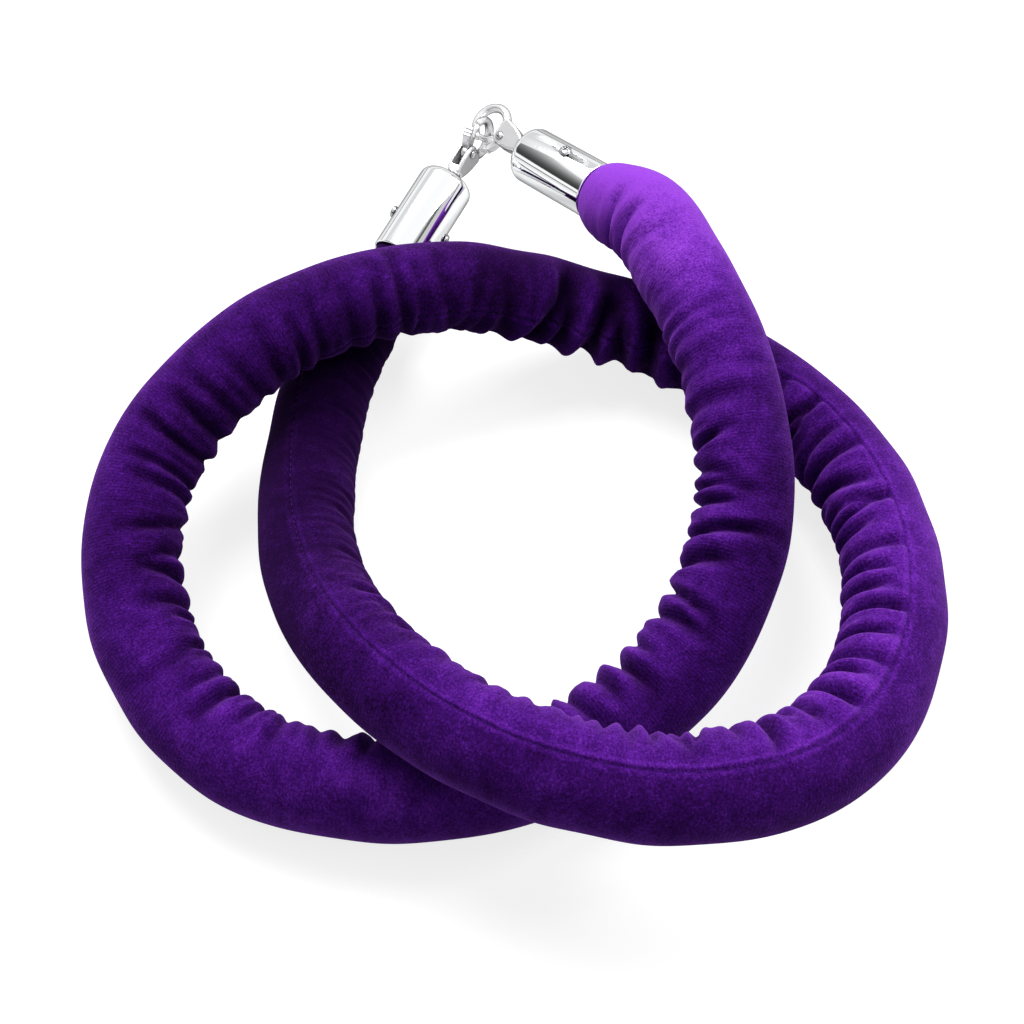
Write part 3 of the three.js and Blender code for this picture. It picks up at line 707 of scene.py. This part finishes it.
class Nodes:
    """A node tree with a few short ways to add to it."""

    def __init__(self, owner, output, shader):
        owner.use_nodes = True
        self.owner = owner
        self.tree = owner.node_tree
        self.tree.nodes.clear()
        self.shader = self.add(shader)
        self.set(self.add(output).inputs[0], self.shader.outputs[0])

    def add(self, kind, **settings):
        """A new node with these settings; a setting named after an input gives its value."""
        node = self.tree.nodes.new(kind)
        for key, value in settings.items():
            if key in node.inputs:
                self.set(node.inputs[key], value)
            else:
                setattr(node, key, value)
        return node

    def set(self, socket, value):
        """Gives a socket a value or links an output to it."""
        if isinstance(value, bpy.types.NodeSocket):
            self.tree.links.new(value, socket)
        else:
            socket.default_value = value

    def fed(self, node, *values):
        """The first output of a node whose inputs get these values in order."""
        for socket, value in zip(node.inputs, values):
            self.set(socket, value)
        return node.outputs[0]

    def math(self, operation, *values):
        """One arithmetic step."""
        return self.fed(self.add("ShaderNodeMath", operation=operation), *values)

    def remap(self, value, low, high, to_low, to_high):
        """A value moved from one range to another and held inside it."""
        return self.fed(self.add("ShaderNodeMapRange"), value, low, high, to_low, to_high)

    def split(self, vector):
        """A vector's three components."""
        return self.add("ShaderNodeSeparateXYZ", Vector=vector).outputs

    def place(self):
        """The point that is shaded, in metres."""
        return self.add("ShaderNodeTexCoord").outputs["Object"]

    def attribute(self, name):
        """A vector stored in the mesh."""
        return self.add("ShaderNodeAttribute", attribute_name=name).outputs["Vector"]

    def noise(self, vector, scale, detail=2.0, roughness=0.5):
        """Smooth noise from 0 to 1, with this many waves to a metre along each axis."""
        scaled = self.fed(self.add("ShaderNodeVectorMath", operation="MULTIPLY"), vector, scale)
        settings = {"Scale": 1.0, "Detail": detail, "Roughness": roughness}
        return self.add("ShaderNodeTexNoise", Vector=scaled, **settings).outputs["Fac"]

    def ramp(self, value, *stops):
        """A colour ramp through (place, colour) stops."""
        node = self.add("ShaderNodeValToRGB", Fac=value)
        elements = node.color_ramp.elements
        while len(elements) < len(stops):
            elements.new(0.5)
        for element, (place, color) in zip(elements, stops):
            element.position = place
            element.color = (*color, 1)
        return node.outputs[0]

    def mix(self, share, first, second):
        """Two colours mixed."""
        node = self.add("ShaderNodeMix", data_type="RGBA")
        for number, value in ((0, share), (6, first), (7, second)):
            self.set(node.inputs[number], value)
        return node.outputs[2]

    def bump(self, height, distance, strength):
        """A bumped normal; the height is in shares of the distance, which is in millimetres."""
        node = self.add("ShaderNodeBump", Height=height, Distance=distance * MM, Strength=strength)
        return node.outputs[0]

    def facing(self, blend):
        """How far the surface is turned away from the viewer, from 0 to 1."""
        return self.add("ShaderNodeLayerWeight", Blend=blend).outputs["Facing"]

    def finished(self, **inputs):
        """What the tree belongs to, once its shader has these inputs, named with _ for a space."""
        for name, value in inputs.items():
            self.set(self.shader.inputs[name.replace("_", " ")], value)
        return self.owner


def material_nodes(name):
    """The node tree of a new material."""
    material = bpy.data.materials.new(name)
    return Nodes(material, "ShaderNodeOutputMaterial", "ShaderNodeBsdfPrincipled")


def velvet_material():
    """Short-pile purple velvet on a fine knit in lighter and darker patches, with painted light and shade:
    painted brightness along the rope, painted shade in its creases, beyond the seam and outside its bends, a
    painted highlight on the welt and a painted sheen at its rim.
    """
    n = material_nodes("velvet")
    weave = n.attribute("weave")
    along = n.split(weave)[0]
    pile_and_painted_light, drop, painted_shade = n.split(n.attribute("shade"))
    speckle = n.noise(weave, (1300, 1000, 1000), 2.0, 0.8)
    patterns = (
        (n.noise(weave, (28, 34, 34)), 0.5),
        (n.noise(weave, (170, 120, 120), 3.0, 0.6), 0.5),
        (speckle, 1.15),
    )
    light = pile_and_painted_light
    for pattern, strength in patterns:
        light = n.math("MULTIPLY_ADD", n.math("SUBTRACT", pattern, 0.5), strength, light)
    # Painted shade: the velvet is painted darker the deeper the crease.
    light = n.math("MULTIPLY_ADD", drop, -0.44, light)
    # Painted shade beyond the seam and on the outside of bends, lightened by the welt's painted highlight.
    light = n.math("SUBTRACT", light, painted_shade)
    colour = n.ramp(
        n.remap(light, -0.3, 1.0, 0.0, 1.0),
        (0.0, (0.007, 0.0007, 0.018)),
        (0.23, (0.016, 0.0018, 0.040)),
        (0.50, (0.048, 0.0050, 0.142)),
        (0.73, (0.115, 0.0150, 0.315)),
        (1.0, (0.270, 0.0500, 0.600)),
    )
    # Painted sheen: the colour turns a lighter purple towards the rim, the more where the painted light is
    # brighter.
    edge = n.math("POWER", n.facing(0.42), 2.4)
    edge = n.math("MULTIPLY", edge, n.remap(light, 0.0, 0.7, 0.2, 0.75))
    rows = n.math("SINE", n.math("MULTIPLY", along, 2 * math.pi / (KNIT_PITCH * MM)))
    wobble = n.noise(weave, (900, 420, 420), 2.0, 0.6)
    knit = n.math("MULTIPLY_ADD", rows, 0.15, n.math("MULTIPLY_ADD", wobble, 0.7, speckle))
    return n.finished(
        Base_Color=n.mix(edge, colour, (0.30, 0.08, 0.60, 1)),
        Roughness=1.0,
        Specular_IOR_Level=0.02,
        Sheen_Weight=n.remap(light, 0.0, 0.9, 0.03, 0.5),
        Sheen_Roughness=0.35,
        Sheen_Tint=(0.52, 0.19, 0.95, 1),
        Normal=n.bump(knit, 0.3, 0.75),
    )


def thread_material():
    """Purple sewing thread, a little glossier than the pile."""
    n = material_nodes("thread")
    twist = n.noise(n.place(), (2600, 2600, 2600))
    colour = n.ramp(twist, (0.3, (0.022, 0.003, 0.07)), (0.7, (0.07, 0.012, 0.2)))
    normal = n.bump(twist, 0.1, 0.6)
    return n.finished(Base_Color=colour, Roughness=0.8, Specular_IOR_Level=0.1, Normal=normal)


def foam_material():
    """Cream foam with fine cells."""
    n = material_nodes("foam")
    cells = n.add("ShaderNodeTexVoronoi", Vector=n.place(), Scale=900.0).outputs["Distance"]
    colour = n.ramp(cells, (0.0, (0.55, 0.49, 0.38)), (0.7, (0.80, 0.76, 0.68)))
    return n.finished(Base_Color=colour, Roughness=0.95, Normal=n.bump(cells, 0.3, 0.8))


def cord_material():
    """Off-white twisted cotton."""
    n = material_nodes("cord")
    fibres = n.noise(n.place(), (1400, 1400, 1400), 3.0, 0.7)
    colour = n.ramp(fibres, (0.3, (0.48, 0.43, 0.34)), (0.7, (0.70, 0.66, 0.56)))
    return n.finished(Base_Color=colour, Roughness=0.9, Normal=n.bump(fibres, 0.15, 0.7))


def chrome_material(name, tint, roughness, waviness, outline, turned, metallic=1.0):
    """Bright plating with faint polishing marks and a few dull specks, with a painted dark outline where it
    turns away.
    """
    n = material_nodes(name)
    place = n.place()
    specks = n.noise(place, (1900, 1900, 1900), 2.0, 0.6)
    dull = n.remap(specks, 0.62, 0.8, 0.0, 0.12)
    # Painted dark outline where the surface turns away, in the base colour and, through the specular tint,
    # in the grazing reflection.
    edge = n.remap(n.facing(0.5), turned, turned + 0.25, 0.0, outline)
    return n.finished(
        Base_Color=n.mix(edge, (*tint, 1), (0.03, 0.03, 0.035, 1)),
        Specular_Tint=(1 - outline, 1 - outline, 1 - outline, 1),
        Metallic=metallic,
        Roughness=n.math("ADD", dull, roughness),
        Normal=n.bump(n.noise(place, (110, 110, 110)), waviness, 0.5),
    )


def steel_material():
    """Bare spring steel."""
    n = material_nodes("spring_steel")
    streaks = n.noise(n.place(), (300, 300, 2500), 3.0)
    colour = n.ramp(streaks, (0.3, (0.26, 0.25, 0.24)), (0.7, (0.46, 0.45, 0.43)))
    return n.finished(Base_Color=colour, Metallic=1.0, Roughness=n.remap(streaks, 0.3, 0.7, 0.22, 0.4))


def wood_material():
    """Turned wood with a fine grain."""
    n = material_nodes("plug_wood")
    grain = n.noise(n.place(), (900, 90, 900), 4.0, 0.6)
    colour = n.ramp(grain, (0.3, (0.33, 0.19, 0.085)), (0.7, (0.58, 0.38, 0.20)))
    return n.finished(Base_Color=colour, Roughness=0.7, Normal=n.bump(grain, 0.1, 0.6))


# ---- Metal pieces, each built in millimetres in its own frame and then put in place ----

SAME_POINT = 1e-4  # points closer than this are merged
CURVE_STEPS = 8  # straight steps to a curved piece of an outline
SCREW_HOLE_RADIUS = 1.6
THREAD_START = 6.4  # from the cap's axis to the first turn of a screw's thread
THREAD_TURNS = 11
RECESS = (2.7, 0.62, 1.7)  # length, width and depth of each bar of a screw's cross recess

# The hook's frame has +Z out of the cap, +X on the claw's side and +Y along the gate's pivot.
EYE = (3.0, 26.0)  # X and Z of the middle of the claw's circle
CLAW_CIRCLE = 8.0
CLAW_RADIUS = 2.05
CLAW_TIP_RADIUS = 1.7
BODY_THICKNESS = 6.4
SLOT_WIDTH = 3.8
PIVOT = 15.5  # Z of the gate's pivot
PIVOT_HOLE_RADIUS = 1.35
GATE_THICKNESS = 2.6
GATE_ARM_RADIUS = 1.35
LEVER_THICKNESS = 3.2
RIVET_RADIUS = 1.0
SPRING_TURNS = 3.5
SPRING_RADIUS = 1.1
SPRING_WIRE = 0.28


def lathed(name, profile, segments):
    """A profile of (radius, height) points turned about +Z; it closes on itself or on the axis."""
    turns = np.linspace(0, 2 * math.pi, segments, endpoint=False)
    profile = np.array(profile, float)
    points = np.empty((len(profile), segments, 3))
    points[..., 0] = profile[:, :1] * np.cos(turns)
    points[..., 1] = profile[:, :1] * np.sin(turns)
    points[..., 2] = profile[:, 1:]
    faces = ring_faces(len(profile), segments, inward=True)
    return cleaned(new_object(name, points.reshape(-1, 3), faces))


def cleaned(obj):
    """Merges doubled points and makes every face point out."""
    mesh = bmesh.new()
    mesh.from_mesh(obj.data)
    bmesh.ops.remove_doubles(mesh, verts=mesh.verts, dist=SAME_POINT)
    bmesh.ops.dissolve_degenerate(mesh, edges=mesh.edges, dist=SAME_POINT)
    bmesh.ops.recalc_face_normals(mesh, faces=mesh.faces)
    mesh.to_mesh(obj.data)
    mesh.free()
    return obj


def arc(across, height, radius, start, stop, steps):
    """Points of a circular arc about a centre, between two angles in degrees."""
    turns = np.radians(np.linspace(start, stop, steps))
    return [(across + radius * math.cos(t), height + radius * math.sin(t)) for t in turns]


def slab(name, outline, thickness, bevel=0.0):
    """A plate in the hook's plane (X and Z), its edges rounded if it has a bevel."""
    mesh = bmesh.new()
    ring = [mesh.verts.new((x, -thickness / 2, z)) for x, z in outline]
    face = mesh.faces.new(ring)
    moved = bmesh.ops.extrude_face_region(mesh, geom=[face])["geom"]
    tops = [v for v in moved if isinstance(v, bmesh.types.BMVert)]
    bmesh.ops.translate(mesh, verts=tops, vec=(0, thickness, 0))
    bmesh.ops.recalc_face_normals(mesh, faces=mesh.faces)
    if bevel:
        rim = [e for e in mesh.edges if abs(e.verts[0].co.y - e.verts[1].co.y) < 1e-6]
        bmesh.ops.bevel(mesh, geom=rim, offset=bevel, segments=4, profile=0.5, affect="EDGES")
    data = bpy.data.meshes.new(name)
    mesh.to_mesh(data)
    mesh.free()
    return linked(name, data)


def curve_points(start, *pieces):
    """An outline from a start point through straight (x, z) and curved (via, to) pieces."""
    points = [start]
    for piece in pieces:
        if isinstance(piece[0], tuple):
            via, to = np.array(piece[0]), np.array(piece[1])
            here = np.array(points[-1])
            for t in np.linspace(0, 1, CURVE_STEPS + 1)[1:]:
                point = (1 - t) ** 2 * here + 2 * t * (1 - t) * via + t * t * to
                points.append(tuple(point))
        else:
            points.append(piece)
    return points


def dome(centre, along, radius, sign):
    """The sections of a bar's domed end, from its tip."""
    turns = np.radians(np.array([12, 30, 50, 70, 90]))
    return [(centre + sign * along * radius * math.cos(t), along, radius * math.sin(t)) for t in turns]


def round_bar(name, centres, radii, segments=24):
    """A round bar along a path, with one radius or one at each point, and domed ends."""
    centres = np.array(centres, float)
    radii = np.broadcast_to(radii, len(centres))
    along = np.gradient(centres, axis=0)
    along /= np.linalg.norm(along, axis=1)[:, None]
    body = list(zip(centres, along, radii))
    sections = dome(*body[0], -1)[:-1] + body + dome(*body[-1], 1)[::-1][1:]
    turns = np.linspace(0, 2 * math.pi, segments, endpoint=False)
    vertices = []
    side = np.eye(3)[1 if abs(along[0, 1]) < 0.9 else 0]
    for centre, direction, radius in sections:
        side = side - direction * (side @ direction)
        side = side / np.linalg.norm(side)
        other = np.cross(direction, side)
        vertices += [centre + radius * (math.cos(t) * side + math.sin(t) * other) for t in turns]
    faces = ring_faces(len(sections), segments, inward=True).tolist()
    faces += [list(range(segments)), list(range(len(vertices) - 1, len(vertices) - 1 - segments, -1))]
    return cleaned(new_object(name, vertices, faces))


def box_solid(name, size, at):
    """A plain block, used only to cut with or to join on."""
    x, y, z = size
    outline = [(-x / 2, -z / 2), (x / 2, -z / 2), (x / 2, z / 2), (-x / 2, z / 2)]
    obj = slab(name, outline, y)
    obj.data.transform(Matrix.Translation(at))
    return obj


def combined(base, others, operation):
    """Joins other solids to base, or cuts them from it, and removes them."""
    for other in others:
        modifier = base.modifiers.new("combine", "BOOLEAN")
        modifier.operation = operation
        modifier.solver = "EXACT"
        modifier.object = other
    applied(base)
    for other in others:
        bpy.data.objects.remove(other)
    return base


def applied(obj):
    """Replaces an object's mesh by what its modifiers make of it."""
    graph = bpy.context.evaluated_depsgraph_get()
    graph.update()
    mesh = bpy.data.meshes.new_from_object(obj.evaluated_get(graph))
    obj.modifiers.clear()
    obj.data = mesh
    return obj


def cast(obj, voxel, rounds):
    """Melts a joined solid into one casting with soft inner corners."""
    remesh = obj.modifiers.new("remesh", "REMESH")
    remesh.mode = "VOXEL"
    remesh.voxel_size = voxel
    soften = obj.modifiers.new("soften", "SMOOTH")
    soften.factor = 0.5
    soften.iterations = rounds
    applied(obj)
    obj.data.shade_smooth()
    return obj


def put(obj, matrix, body, slot, *replaced):
    """Places a piece built in millimetres, gives it its finish and lets it ride on a body."""
    obj.data.transform(matrix @ Matrix.Scale(MM, 4))
    obj.data.update()
    obj.data.materials.clear()
    obj.data.materials.append(finishes[slot])
    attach(obj, body)
    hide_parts(*replaced)


def end_cap(name):
    """A drawn cap with a rounded shoulder, a raised rim round its hole and a rolled mouth."""
    inner = CAP_RADIUS - CAP_WALL
    flat = CAP_RADIUS - CAP_SHOULDER
    roll = CAP_WALL / 2
    mouth = -CAP_LENGTH + roll
    profile = arc(inner + roll, mouth, roll, 180, 360, 9)
    profile += arc(flat, -CAP_SHOULDER, CAP_SHOULDER, 0, 78, 14)
    profile += [(flat + 0.7, -0.02), (flat + 0.25, 0.12), (flat - 0.35, 0.16), (flat - 0.9, 0.04)]
    profile += [(CAP_HOLE + 1.4, 0.02), (CAP_HOLE + 0.5, 0.0), (CAP_HOLE, -0.4), (CAP_HOLE, -2.0)]
    profile += arc(inner - CAP_SHOULDER + 2, -CAP_SHOULDER, CAP_SHOULDER - 2, 90, 0, 8)
    profile.append((inner, mouth))
    obj = lathed(name, profile + profile[:1], 128)
    bore = round_bar("bore", [(0, -20, -SCREW_DEPTH), (0, 20, -SCREW_DEPTH)], SCREW_HOLE_RADIUS)
    return combined(obj, [bore], "DIFFERENCE")


def cap_screw(name, side):
    """A pan-head screw with a cross recess and a thread, through the cap's wall."""
    seat = CAP_RADIUS + 0.25
    profile = [(0, 5.5), (0.4, 5.6)]
    for i in range(THREAD_TURNS):
        low = THREAD_START + i * (seat - 6.6) / THREAD_TURNS
        profile += [(1.0, low), (1.25, low + 0.25)]
    profile += [(1.1, seat), (2.5, seat), (2.7, seat + 0.25), (2.66, seat + 0.7)]
    profile += [(2.4, seat + 1.1), (1.9, seat + 1.38), (1.2, seat + 1.5), (0, seat + 1.55)]
    obj = lathed(name, profile, 48)
    length, width, depth = RECESS
    sizes = ((length, width, depth), (width, length, depth))
    combined(obj, [box_solid("bar", size, (0, 0, seat + 1.5)) for size in sizes], "DIFFERENCE")
    turn = Matrix.Rotation(-side * math.pi / 2, 4, "X")
    obj.data.transform(Matrix.Translation((0, 0, -SCREW_DEPTH)) @ turn)
    return obj


def pivot_hole():
    """What is cut out of the hook and the gate for the rivet."""
    return round_bar("hole", [(0, -8, PIVOT), (0, 8, PIVOT)], PIVOT_HOLE_RADIUS)


def eye_arc(radius, start, stop, steps):
    """Points on a circle about the eye in the hook's plane."""
    return [(x, 0, z) for x, z in arc(*EYE, radius, start, stop, steps)]


def snap_hook(name):
    """The hook: a shank held in the cap, a slotted body and a round claw that thins to its tip."""
    profile = [(0, -6), (3.2, -6), (3.7, -5.5), (3.8, -4.2), (2.2, -3.8), (2.2, 0.5)]
    profile += [(4.2, 0.5), (4.4, 0.8), (4.4, 1.6), (4.0, 2.1), (3.0, 3.0), (2.9, 6.5), (0, 6.5)]
    obj = lathed(name, profile, 48)
    outline = curve_points(
        (-2.6, 4),
        (3.4, 4),
        ((7, 8.5), (8.6, 17.6)),
        ((6.6, 20.4), (3.2, 19.2)),
        ((-2, 20.2), (-3.4, 16.6)),
        ((-4.6, 10), (-2.6, 4)),
    )
    body = slab("body", outline[:-1], BODY_THICKNESS, 1.0)
    thinning = (CLAW_RADIUS - CLAW_TIP_RADIUS) * eased(np.linspace(0, 1, 60), 0.7, 1.0)
    claw = round_bar("claw", eye_arc(CLAW_CIRCLE, -84, 160, 60), CLAW_RADIUS - thinning)
    combined(obj, [body, claw], "UNION")
    slot = slab("slot", [(-8, 6.6), (3.6, 6.6), (4.6, 15), (3, 22), (-8, 22)], SLOT_WIDTH)
    combined(obj, [slot, pivot_hole()], "DIFFERENCE")
    return cast(obj, 0.17, 6)


def gate(name):
    """The spring gate: an arm up to the claw's tip and a ribbed thumb lever outside it."""
    obj = slab(name, arc(0, PIVOT, 3, 0, 345, 24), GATE_THICKNESS, 0.3)
    web = slab("web", [(-1.5, 13.1), (1.2, 18.1), (-3.4, 22.4), (-5.2, 20.4)], GATE_THICKNESS, 0.3)
    heel = slab("heel", [(0.6, 12), (3, 12), (3, 15), (0.6, 15)], GATE_THICKNESS)
    curve = ((-5.8, 15.8), (-7.8, 18))
    outline = curve_points((-2.2, 15.6), curve, (-9.4, 22.8), (-8.2, 23.4), (-6.4, 20), (-3.2, 18.6))
    lever = slab("lever", outline, LEVER_THICKNESS, 0.35)
    ribs = [box_solid("rib", (1.0, 4.0, 0.7), (-8.1 - 0.5 * i, 0, 19 + 1.5 * i)) for i in range(3)]
    arm = round_bar("arm", eye_arc(7.2, 226, 174, 24), GATE_ARM_RADIUS)
    combined(obj, [web, heel, lever, arm, *ribs], "UNION")
    combined(obj, [pivot_hole()], "DIFFERENCE")
    return cast(obj, 0.13, 4)


def gate_rivet(name):
    """A rivet with a shallow domed head on each side."""
    face = BODY_THICKNESS / 2 + 0.3
    half = [(RIVET_RADIUS, 0), (RIVET_RADIUS, face), (1.85, face), (1.9, face + 0.2)]
    half += [(1.6, face + 0.6), (1.0, face + 0.85), (0, face + 0.95)]
    profile = [(radius, -height) for radius, height in reversed(half)] + half[1:]
    obj = lathed(name, profile, 40)
    obj.data.transform(Matrix.Translation((0, 0, PIVOT)) @ Matrix.Rotation(math.pi / 2, 4, "X"))
    return obj


def gate_spring(name):
    """A compression spring in the body's slot, under the gate's heel."""
    turns = np.linspace(0, SPRING_TURNS * 2 * math.pi, 120)
    x = 1.9 + SPRING_RADIUS * np.cos(turns)
    y = SPRING_RADIUS * np.sin(turns)
    z = np.linspace(7.3, 10.5, 120)
    return round_bar(name, np.stack([x, y, z], axis=1), SPRING_WIRE, 10)


def rope_end(side):
    """A cap with its screws, and the hook that turns in it."""
    cap, hook = cap_frame(side), hook_frame(side)
    body = side + "_hook"
    put(end_cap(side + "_polished_cap"), cap, "coil", "cap_chrome", side + "_end_cap")
    for place, sign in (("upper", 1), ("lower", -1)):
        screw = cap_screw(f"{side}_{place}_screw", sign)
        put(screw, cap, "coil", "screw_chrome", f"{side}_cap_screw_{place}")
    put(snap_hook(side + "_cast_hook"), hook, body, "hook_chrome", side + "_snap_hook")
    put(gate(side + "_thumb_gate"), hook, side + "_gate", "hook_chrome", side + "_gate")
    put(gate_rivet(side + "_rivet"), hook, body, "screw_chrome", side + "_gate_rivet")
    put(gate_spring(side + "_spring"), hook, body, "spring_steel", side + "_gate_spring")
    dress(side + "_end_plug", "plug_wood")
    dress(side + "_swivel_washer", "spring_steel")


def dress(node, finish):
    """Gives a CAD node that stays in the model its finish."""
    mesh = nodes[node].data
    mesh.materials.clear()
    mesh.materials.append(finishes[finish])


# ---- The rope's pieces ----


def bent(obj, side, sign, finish, slot, *replaced):
    """Gives a rope piece its finish, bakes its placement into its mesh and hides the CAD parts it replaces.
    """
    obj.data.materials.append(finishes[finish])
    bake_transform(obj)
    if replaced:
        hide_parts(*replaced)


def rope_pieces():
    """The cover, its stitches, the foam and the cord, in two lengths that meet under a crossing."""
    surface = Surface()
    split = int(np.argmin(np.abs(surface.distance - SPLIT * rope.length)))
    last = len(surface.distance) - 1
    lengths = (
        ("first", "left", -1, 0, split, ("right_end", "left_lobe", "top")),
        ("second", "right", 1, split, last, ("right_lobe", "left_end")),
    )
    inner = (("foam_core_", foam_core, CORE_START, "foam"), ("inner_cord_", inner_cord, -CORD_START, "cord"))
    for word, side, sign, low, high, stretches in lengths:
        rows = np.arange(low, high + 1)
        cover = velvet_cover(f"velvet_cover_{word}_length", rows, surface)
        bent(cover, side, sign, "velvet", "velvet", *["velvet_cover_" + s for s in stretches])
        distance = surface.distance[rows]
        outside = np.minimum(distance, rope.length - distance)
        for prefix, make, start, finish in inner:
            piece = make(f"{prefix}{word}_length", rows[outside > start * MM][::2], surface)
            bent(piece, side, sign, finish, finish, *[prefix + s for s in stretches])
        stitched = max(distance[0], NECK_EXIT * MM), min(distance[-1], rope.length)
        stitches = seam_stitches(f"seam_stitches_{word}_length", *stitched, surface)
        bent(stitches, side, sign, "thread", "velvet")


finishes = {
    "velvet": velvet_material(),
    "thread": thread_material(),
    "foam": foam_material(),
    "cord": cord_material(),
    "cap_chrome": chrome_material("cap_chrome", (0.93, 0.94, 0.95), 0.05, 0.02, 0.55, 0.58),
    "hook_chrome": chrome_material("hook_chrome", (0.88, 0.88, 0.89), 0.09, 0.06, 0.85, 0.4, 0.5),
    "screw_chrome": chrome_material("screw_chrome", (0.62, 0.62, 0.64), 0.12, 0.03, 0.6, 0.4),
    "spring_steel": steel_material(),
    "plug_wood": wood_material(),
}

rope_pieces()
rope_end("right")
rope_end("left")


# ---- Floor, light and camera, in metres ----

FLOOR_SIZE = 6.0
ELEVATION = math.radians(56)
DISTANCE = 0.65
TARGET = Vector((0, -0.0225, 0.0186))
LENS = 58.0


def floor():
    """A plain pale floor: as white as paper to look at, and a soft grey bounce for the coil."""
    corners = [(x * FLOOR_SIZE, y * FLOOR_SIZE, 0) for x, y in ((-1, -1), (1, -1), (1, 1), (-1, 1))]
    obj = new_object("floor", corners, [[0, 1, 2, 3]], smooth=False)
    n = material_nodes("pale_floor")
    path = n.add("ShaderNodeLightPath").outputs
    mirrored = n.math("MULTIPLY", path["Is Glossy Ray"], 0.5)
    finish = n.finished(
        Base_Color=(0.42, 0.42, 0.42, 1),
        Roughness=0.9,
        Specular_IOR_Level=0.0,
        Emission_Color=(1, 1, 1, 1),
        Emission_Strength=n.math("MULTIPLY_ADD", path["Is Camera Ray"], 0.78, mirrored),
    )
    obj.data.materials.append(finish)


def softbox(name, at, target, size, power):
    """A square soft light."""
    data = bpy.data.lights.new(name, "AREA")
    data.size = size
    data.energy = power
    obj = linked(name, data)
    toward = Vector(target) - Vector(at)
    obj.matrix_world = Matrix.Translation(at) @ toward.to_track_quat("-Z", "Y").to_matrix().to_4x4()
    obj.visible_camera = False


def surroundings():
    """A pale studio, darker on the camera's side, with the dark openings that the chrome mirrors."""
    n = Nodes(bpy.data.worlds.new("studio"), "ShaderNodeOutputWorld", "ShaderNodeBackground")

    def rising(value, start, blur):
        """0 below start and 1 from start + blur on."""
        return n.remap(value, start, start + blur, 0.0, 1.0)

    def band(value, low, high, blur):
        """1 between low and high and 0 outside them, with soft ends."""
        return n.math("SUBTRACT", rising(value, low, blur), rising(value, high, blur))

    def inverse(value):
        return n.math("SUBTRACT", 1.0, value)

    def both(first, second):
        return n.math("MULTIPLY", first, second)

    x, y, z = n.split(n.add("ShaderNodeTexCoord").outputs["Generated"])
    front_left = both(rising(both(x, -1.0), 0.45, 0.08), inverse(rising(y, 0.40, 0.05)))
    doorway = both(both(front_left, band(z, 0.21, 0.69, 0.03)), inverse(n.math("POWER", both(z, 1.28), 5.0)))
    right = rising(x, 0.5, 0.05)
    curtain = both(both(right, band(z, 0.24, 0.72, 0.02)), 0.42)
    fold = both(right, band(z, 0.62, 0.79, 0.01))
    horizon = both(band(z, 0.015, 0.075, 0.015), 0.85)
    back = both(both(rising(y, 0.42, 0.06), band(z, 0.30, 0.58, 0.12)), 0.3)
    dark = n.math("MAXIMUM", doorway, n.math("MULTIPLY_ADD", fold, 0.5, curtain))
    dark = n.math("MAXIMUM", dark, n.math("MAXIMUM", horizon, back))
    mirrored = n.math("MULTIPLY_ADD", dark, -1.0, 1.04)
    even = n.math("MULTIPLY_ADD", y, 0.28, 0.42)
    path = n.add("ShaderNodeLightPath").outputs
    glossy = path["Is Glossy Ray"]
    light = n.math("ADD", both(glossy, mirrored), both(inverse(glossy), even))
    strength = n.math("MAXIMUM", light, path["Is Camera Ray"])
    bpy.context.scene.world = n.finished(Color=(1, 1, 1, 1), Strength=strength)


def main_camera():
    """The camera, looking along +Y and down on the coil."""
    data = bpy.data.cameras.new("camera")
    data.lens = LENS
    data.clip_start = 0.01
    obj = linked("camera", data)
    back = Vector((0, -math.cos(ELEVATION), math.sin(ELEVATION)))
    obj.location = TARGET + back * DISTANCE
    obj.rotation_mode = "QUATERNION"
    obj.rotation_quaternion = (-back).to_track_quat("-Z", "Y")
    bpy.context.scene.camera = obj


floor()
main_camera()
surroundings()
softbox("key", (-0.35, 0.75, 1.3), (0, 0, 0), 0.8, 20)
softbox("fill", (1.0, 0.25, 1.1), (0, 0, 0), 0.8, 9)
bpy.context.scene.view_settings.view_transform = "Standard"
